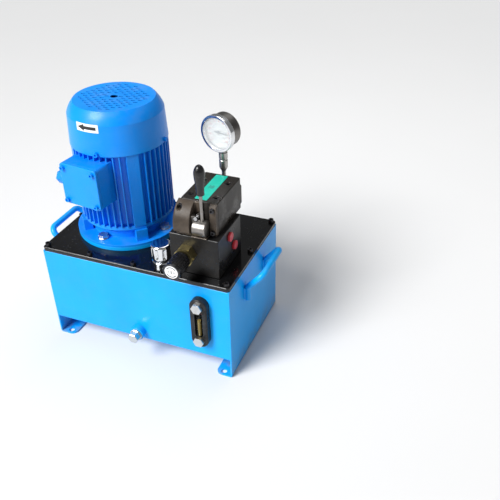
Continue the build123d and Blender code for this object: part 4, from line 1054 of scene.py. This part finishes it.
@dataclass
class LeverValve:
    """The manifold block, the directional valve and its hand lever."""

    label_width: float = 0.0225
    label_inset: float = 0.005
    label_shift: float = 0.001
    label_rise: float = 0.0004
    grip_fullest: float = 0.70

    def dress(self) -> None:
        """Finish the block, the valve and the lever."""
        dress(Skin.MANIFOLD, "manifold_block")
        dress(Skin.VALVE, "valve_body", "valve_end_cover")
        dress(Skin.BLACK_OXIDE, "valve_screws")
        dress(Skin.HOUSING, "lever_housing")
        dress(Skin.LEVER, "lever_hub", "lever_rod")
        dress(Skin.STEEL, "valve_spool", "spool_springs")
        dress(Skin.PLUG, "port_plug_a", "port_plug_b")

    def label(self) -> None:
        """Lay the blank turquoise strip, with a small plain mark, along the valve's top."""
        low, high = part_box("valve_body")
        length = high.y - low.y - 2 * self.label_inset
        x = (low.x + high.x) / 2 + self.label_shift
        y = (low.y + high.y) / 2
        seat = Seat.level((x, y, high.z))
        outline = rounded_rectangle(self.label_width, length, 0.0012)
        strip = plate(seat, outline, self.label_rise, PRINT)
        solid("valve_label", strip, Skin.TURQUOISE, "unit")
        bars = [plate(Seat.facing((x + shift, y, high.z + self.label_rise), (0, 1, 0), (0, 0, 1)),
                      rounded_rectangle(size, 0.0009, 0.0003), PRINT)
                for shift, size in ((-0.0036, 0.012), (-0.0012, 0.007), (0.0012, 0.012),
                                    (0.0036, 0.009))]
        solid("valve_label_marks", np.stack(bars), Skin.GREY_INK, "unit")

    def grip(self) -> None:
        """Turn the drop-shaped grip.

        r = R (0.70 + 0.30 s(t)) up to its fullest, where s is a smooth step, and then
        the quarter ellipse R sqrt(1 - q^2) to its top.
        """
        low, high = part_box("lever_grip")
        centre = (low + high) / 2
        radius, height = (high.x - low.x) / 2, high.z - low.z
        full = self.grip_fullest
        t = np.linspace(0, full, 24)
        s = np.clip((t - 0.12) / (full - 0.12), 0, 1)
        rise = radius * (0.70 + 0.30 * s * s * (3 - 2 * s))
        q = np.sin(np.linspace(0, np.pi / 2, 20))[1:]
        dome = radius * np.sqrt(np.clip(1 - q**2, 0.0002, 1))
        levels = np.concatenate([[0.0, 0.0], t + 0.004, full + (1 - full) * q])
        widths = np.concatenate([[0.0032, radius * 0.66], rise, dome])
        profile = np.stack([widths, height * levels], 1)
        seat = Seat.level((centre.x, centre.y, low.z))
        piece = solid("lever_grip_drop", lathe(seat, profile, 64), Skin.GRIP, "lever",
                      sharp=50)
        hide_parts("lever_grip")


@dataclass
class ReliefValve:
    """The pressure relief cartridge and its black turning knob."""

    disc_radius: float = 0.0122
    grip_length: float = 0.040
    rib_count: int = 24
    rib_depth: float = 0.06
    spindle_radius: float = 0.0029
    dish: float = 0.0008
    disc_thickness: float = 0.0005

    def dress(self) -> None:
        """Finish the cartridge and the parts inside it."""
        dress(Skin.RELIEF, "relief_body")
        dress(Skin.STEEL, "relief_piston", "relief_poppet", "relief_spring")

    def knob(self) -> None:
        """Turn the ribbed knob and set the white disc, with plain marks, in its end.

        The ribs are r = R (1 - d g(z) (0.5 - 0.5 cos(n a))^2), where g fades them out at
        both ends. The end is dished by a little more than the disc's thickness.
        """
        low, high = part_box("relief_knob")
        centre = (low + high) / 2
        radius = (high.x - low.x) / 2
        length = high.y - low.y
        seat = Seat.front((centre.x, high.y, centre.z))
        rim = self.disc_radius
        near = length - self.grip_length
        outline = softened([(POLE, 0.0), (self.spindle_radius, 0.0),
                            (self.spindle_radius, near - 0.0002), (radius, near),
                            (radius, length), (rim + 2 * self.dish, length),
                            (rim + self.dish, length - self.dish),
                            (POLE, length - self.dish)], 0.0012, 5)
        rises = np.where(outline[:-1, 0] > radius * 0.9, np.diff(outline[:, 1]), 0)
        profile = refined(outline, int(np.argmax(rises)), 10)

        def ribs(level: Array, angle: Array) -> Array:
            """The factor on the radius at each height and angle."""
            margin = np.minimum(level - near - 0.003, length - 0.005 - level)
            within = np.clip(margin / 0.0015, 0, 1)
            wave = (0.5 - 0.5 * np.cos(self.rib_count * angle)) ** 2
            return 1 - self.rib_depth * within * wave

        piece = solid("relief_knob_ribbed", lathe(seat, profile, 240, ribs), Skin.KNOB, "knob",
                      sharp=50)
        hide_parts("relief_knob")
        face = Seat.front((centre.x, low.y + self.dish, centre.z))
        disc = softened([(0.0002, 0.0), (rim, 0.0), (rim, self.disc_thickness),
                         (0.0002, self.disc_thickness)], 0.0001)
        solid("knob_disc", lathe(face, disc, 72), Skin.STICKER, "knob", sharp=40)
        printed = low.y + self.dish - self.disc_thickness
        ink = Seat.front((centre.x, printed, centre.z))
        arcs = [arc_band(ink, math.radians(start), math.radians(start + 120), rim * 0.70,
                         rim * 0.82, PRINT, 24) for start in (30, 210)]
        solid("knob_arcs", np.stack(arcs), Skin.BLACK_INK, "knob")
        marks = [plate(Seat.front((centre.x + shift, printed, centre.z)),
                       rounded_rectangle(width, tall, 0.0004), PRINT)
                 for shift, width, tall in ((-0.0046, 0.0036, 0.0014), (0.0, 0.0016, 0.0062),
                                            (0.0046, 0.0036, 0.0014))]
        solid("knob_marks", np.stack(marks), Skin.BLACK_INK, "knob")


@dataclass
class PressureGauge:
    """The gauge with its bright bezel, printed dial, pointer and snubber."""

    scale_start: float = 225.0
    scale_sweep: float = 270.0
    divisions: int = 30
    full_scale: int = 100
    dial_half: float = 0.00055
    facing: Array = field(init=False)
    right: Array = field(init=False)

    def __post_init__(self) -> None:
        """Take the dial's direction from the pointer joint, whose axis runs to the back."""
        joint = next(j for j in frame["joints"] if j["name"] == "pointer_sweep")
        self.facing = -np.array(joint["axis"], float)
        self.facing /= np.linalg.norm(self.facing)
        self.right = np.cross((0.0, 0.0, 1.0), self.facing)
        self.right /= np.linalg.norm(self.right)

    def dress(self) -> None:
        """Finish the case, bezel, dial, pointer, window and snubber."""
        dress(Skin.GAUGE_CASE, "gauge_case")
        dress(Skin.CHROME, "gauge_bezel")
        dress(Skin.DIAL, "gauge_dial")
        dress(Skin.BLACK_INK, "gauge_pointer")
        dress(Skin.GLASS, "gauge_glass")
        dress(Skin.FITTING, "gauge_pipe")

    def print_dial(self) -> None:
        """Print two scales on the dial: outer marks and numbers in red, inner ones in grey."""
        low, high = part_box("gauge_dial")
        seat = Seat.facing(np.array((low + high) / 2) + self.facing * self.dial_half,
                           self.right, self.facing)
        fraction = np.linspace(0, 1, self.divisions + 1)
        angle = np.radians(self.scale_start - self.scale_sweep * fraction)
        shown = angle[::3]
        start, end = float(angle[0]), float(angle[-1])
        outer, inner = (Skin.RED_INK, "red_plastic"), (Skin.GREY_INK, "black_paint")
        for name, shape, (ink, slot) in (
                ("scale_marks", ticks(seat, angle, 0.0250, 0.0272, 0.00080, PRINT), outer),
                ("scale_main_marks", ticks(seat, shown, 0.0238, 0.0277, 0.00140, PRINT), outer),
                ("scale_arc", arc_band(seat, start, end, 0.0270, 0.0275, PRINT, 96), outer),
                ("inner_marks", ticks(seat, angle[::2], 0.0142, 0.0160, 0.00070, PRINT), inner),
                ("inner_arc", arc_band(seat, start, end, 0.0159, 0.0163, PRINT, 96), inner)):
            solid(name, shape, ink, "unit")

        def ring_of(radius: float, step: int, factor: int) -> dict[str, tuple[float, float]]:
            """Every so many of the shown numbers, with its place on a circle."""
            return {str(i * factor): (radius * math.cos(a), radius * math.sin(a))
                    for i, a in enumerate(shown) if i % step == 0}

        for name, words, size, (ink, slot) in (
                ("scale_numbers", ring_of(0.0208, 1, self.full_scale // 10), 0.0052, outer),
                ("inner_numbers", ring_of(0.0118, 2, 2), 0.0034, inner)):
            numerals(name, seat, words, size, ink, "unit")


@dataclass
class Studio:
    """The pale floor, the soft lights and the camera."""

    camera_place: Colour = (0.5578, -0.9320, 0.8876)
    azimuth: float = 21.772
    elevation: float = 34.046
    roll: float = -0.798
    lens: float = 47.37
    shift: tuple[float, float] = (-0.004, 0.0026)
    floor_size: float = 30.0
    sun_power: float = 3.5
    sun_spread: float = 28.0
    sun_direction: Colour = (0.42, 0.72, -0.80)
    air_colour: Colour = (0.97, 0.985, 1.0)
    air_strength: float = 0.20

    def build(self) -> None:
        """Lay the floor, hang the lights and aim the camera."""
        self.lay_floor()
        self.light()
        self.aim()
        bpy.context.scene.view_settings.view_transform = "Standard"

    def lay_floor(self) -> None:
        """Lay a plain matt floor just under the feet."""
        shader = Shader("studio_floor")
        tone = shader.noise(1.5, 2.0)
        colour = shader.mix(tone, (0.80, 0.80, 0.80), (0.83, 0.83, 0.83))
        material = shader.surface(Base_Color=colour, Roughness=0.75, Specular_IOR_Level=0.2)
        half = self.floor_size / 2
        mesh = bpy.data.meshes.new("studio_floor")
        mesh.from_pydata([(-half, -half, 0), (half, -half, 0), (half, half, 0), (-half, half, 0)],
                         [], [(0, 1, 2, 3)])
        mesh.materials.append(material)
        floor = bpy.data.objects.new("studio_floor", mesh)
        bpy.context.scene.collection.objects.link(floor)

    def light(self) -> None:
        """A pale surround, one broad sun from the front left, and three soft panels."""
        world = bpy.data.worlds.new("studio_air")
        bpy.context.scene.world = world
        world.use_nodes = True
        nodes, links = world.node_tree.nodes, world.node_tree.links
        air = nodes["Background"]
        air.inputs["Color"].default_value = (*self.air_colour, 1.0)
        air.inputs["Strength"].default_value = self.air_strength
        seen = nodes.new("ShaderNodeBackground")
        seen.inputs["Color"].default_value = (1.0, 1.0, 1.0, 1.0)
        seen.inputs["Strength"].default_value = 1.0
        path = nodes.new("ShaderNodeLightPath")
        mixed = nodes.new("ShaderNodeMixShader")
        links.new(path.outputs["Is Camera Ray"], mixed.inputs[0])
        links.new(air.outputs[0], mixed.inputs[1])
        links.new(seen.outputs[0], mixed.inputs[2])
        links.new(mixed.outputs[0], nodes["World Output"].inputs["Surface"])
        sun = bpy.data.lights.new("broad_sun", "SUN")
        sun.energy = self.sun_power
        sun.angle = math.radians(self.sun_spread)
        self.hang("broad_sun", sun, (0.0, 0.0, 0.0), Vector(self.sun_direction))
        self.panel("front_panel", (-0.75, -1.35, 1.15), (0.0, 0.0, 0.22), 0.9, 9.0)
        self.panel("top_panel", (0.15, 0.65, 1.7), (0.0, 0.0, 0.25), 1.0, 6.0)
        self.panel("right_panel", (1.5, -0.4, 0.7), (0.0, 0.0, 0.25), 0.7, 0.3)

    def panel(self, name: str, place: Colour, target: Colour, size: float, power: float) -> None:
        """Hang one square soft panel.

        Args:
            name: The light's name.
            place: Where it hangs.
            target: What it points at.
            size: Its side in metres.
            power: Its power in watts.
        """
        lamp = bpy.data.lights.new(name, "AREA")
        lamp.size = size
        lamp.energy = power
        self.hang(name, lamp, place, Vector(target) - Vector(place))

    def hang(self, name: str, lamp: bpy.types.Light, place: Colour, direction: Vector) -> None:
        """Put a light in the scene.

        Args:
            name: The light's name.
            lamp: The light.
            place: Where it hangs.
            direction: Which way it shines.
        """
        holder = bpy.data.objects.new(name, lamp)
        bpy.context.scene.collection.objects.link(holder)
        holder.location = place
        holder.rotation_mode = "QUATERNION"
        holder.rotation_quaternion = direction.to_track_quat("-Z", "Y")

    def aim(self) -> None:
        """Point the camera down at the unit from the front right."""
        turn, tilt, roll = (math.radians(a) for a in (self.azimuth, self.elevation, self.roll))
        back = np.array((math.sin(turn) * math.cos(tilt), -math.cos(turn) * math.cos(tilt),
                         math.sin(tilt)))
        right = np.array((math.cos(turn), math.sin(turn), 0.0))
        up = np.cross(back, right)
        across = math.cos(roll) * right + math.sin(roll) * up
        above = -math.sin(roll) * right + math.cos(roll) * up
        lens = bpy.data.cameras.new("studio_camera")
        lens.lens = self.lens
        lens.sensor_width = 36.0
        lens.shift_x, lens.shift_y = self.shift
        lens.clip_start = 0.05
        camera = bpy.data.objects.new("studio_camera", lens)
        bpy.context.scene.collection.objects.link(camera)
        turned = Matrix((across, above, back)).transposed().to_4x4()
        camera.matrix_world = Matrix.Translation(Vector(self.camera_place)) @ turned
        bpy.context.scene.camera = camera


def main() -> None:
    """Dress and complete the unit, sub-assembly by sub-assembly, then light it."""
    logging.basicConfig(level=logging.INFO, format="%(message)s")
    tank = Tank()
    tank.dress()
    tank.weld_handles()
    tank.fill_sight()
    Breather().build()
    motor = Motor()
    motor.dress()
    motor.band()
    motor.label()
    HydraulicDrive().dress()
    valve = LeverValve()
    valve.dress()
    valve.label()
    valve.grip()
    relief = ReliefValve()
    relief.dress()
    relief.knob()
    gauge = PressureGauge()
    gauge.dress()
    gauge.print_dial()
    Studio().build()


if __name__ == "__main__":
    main()
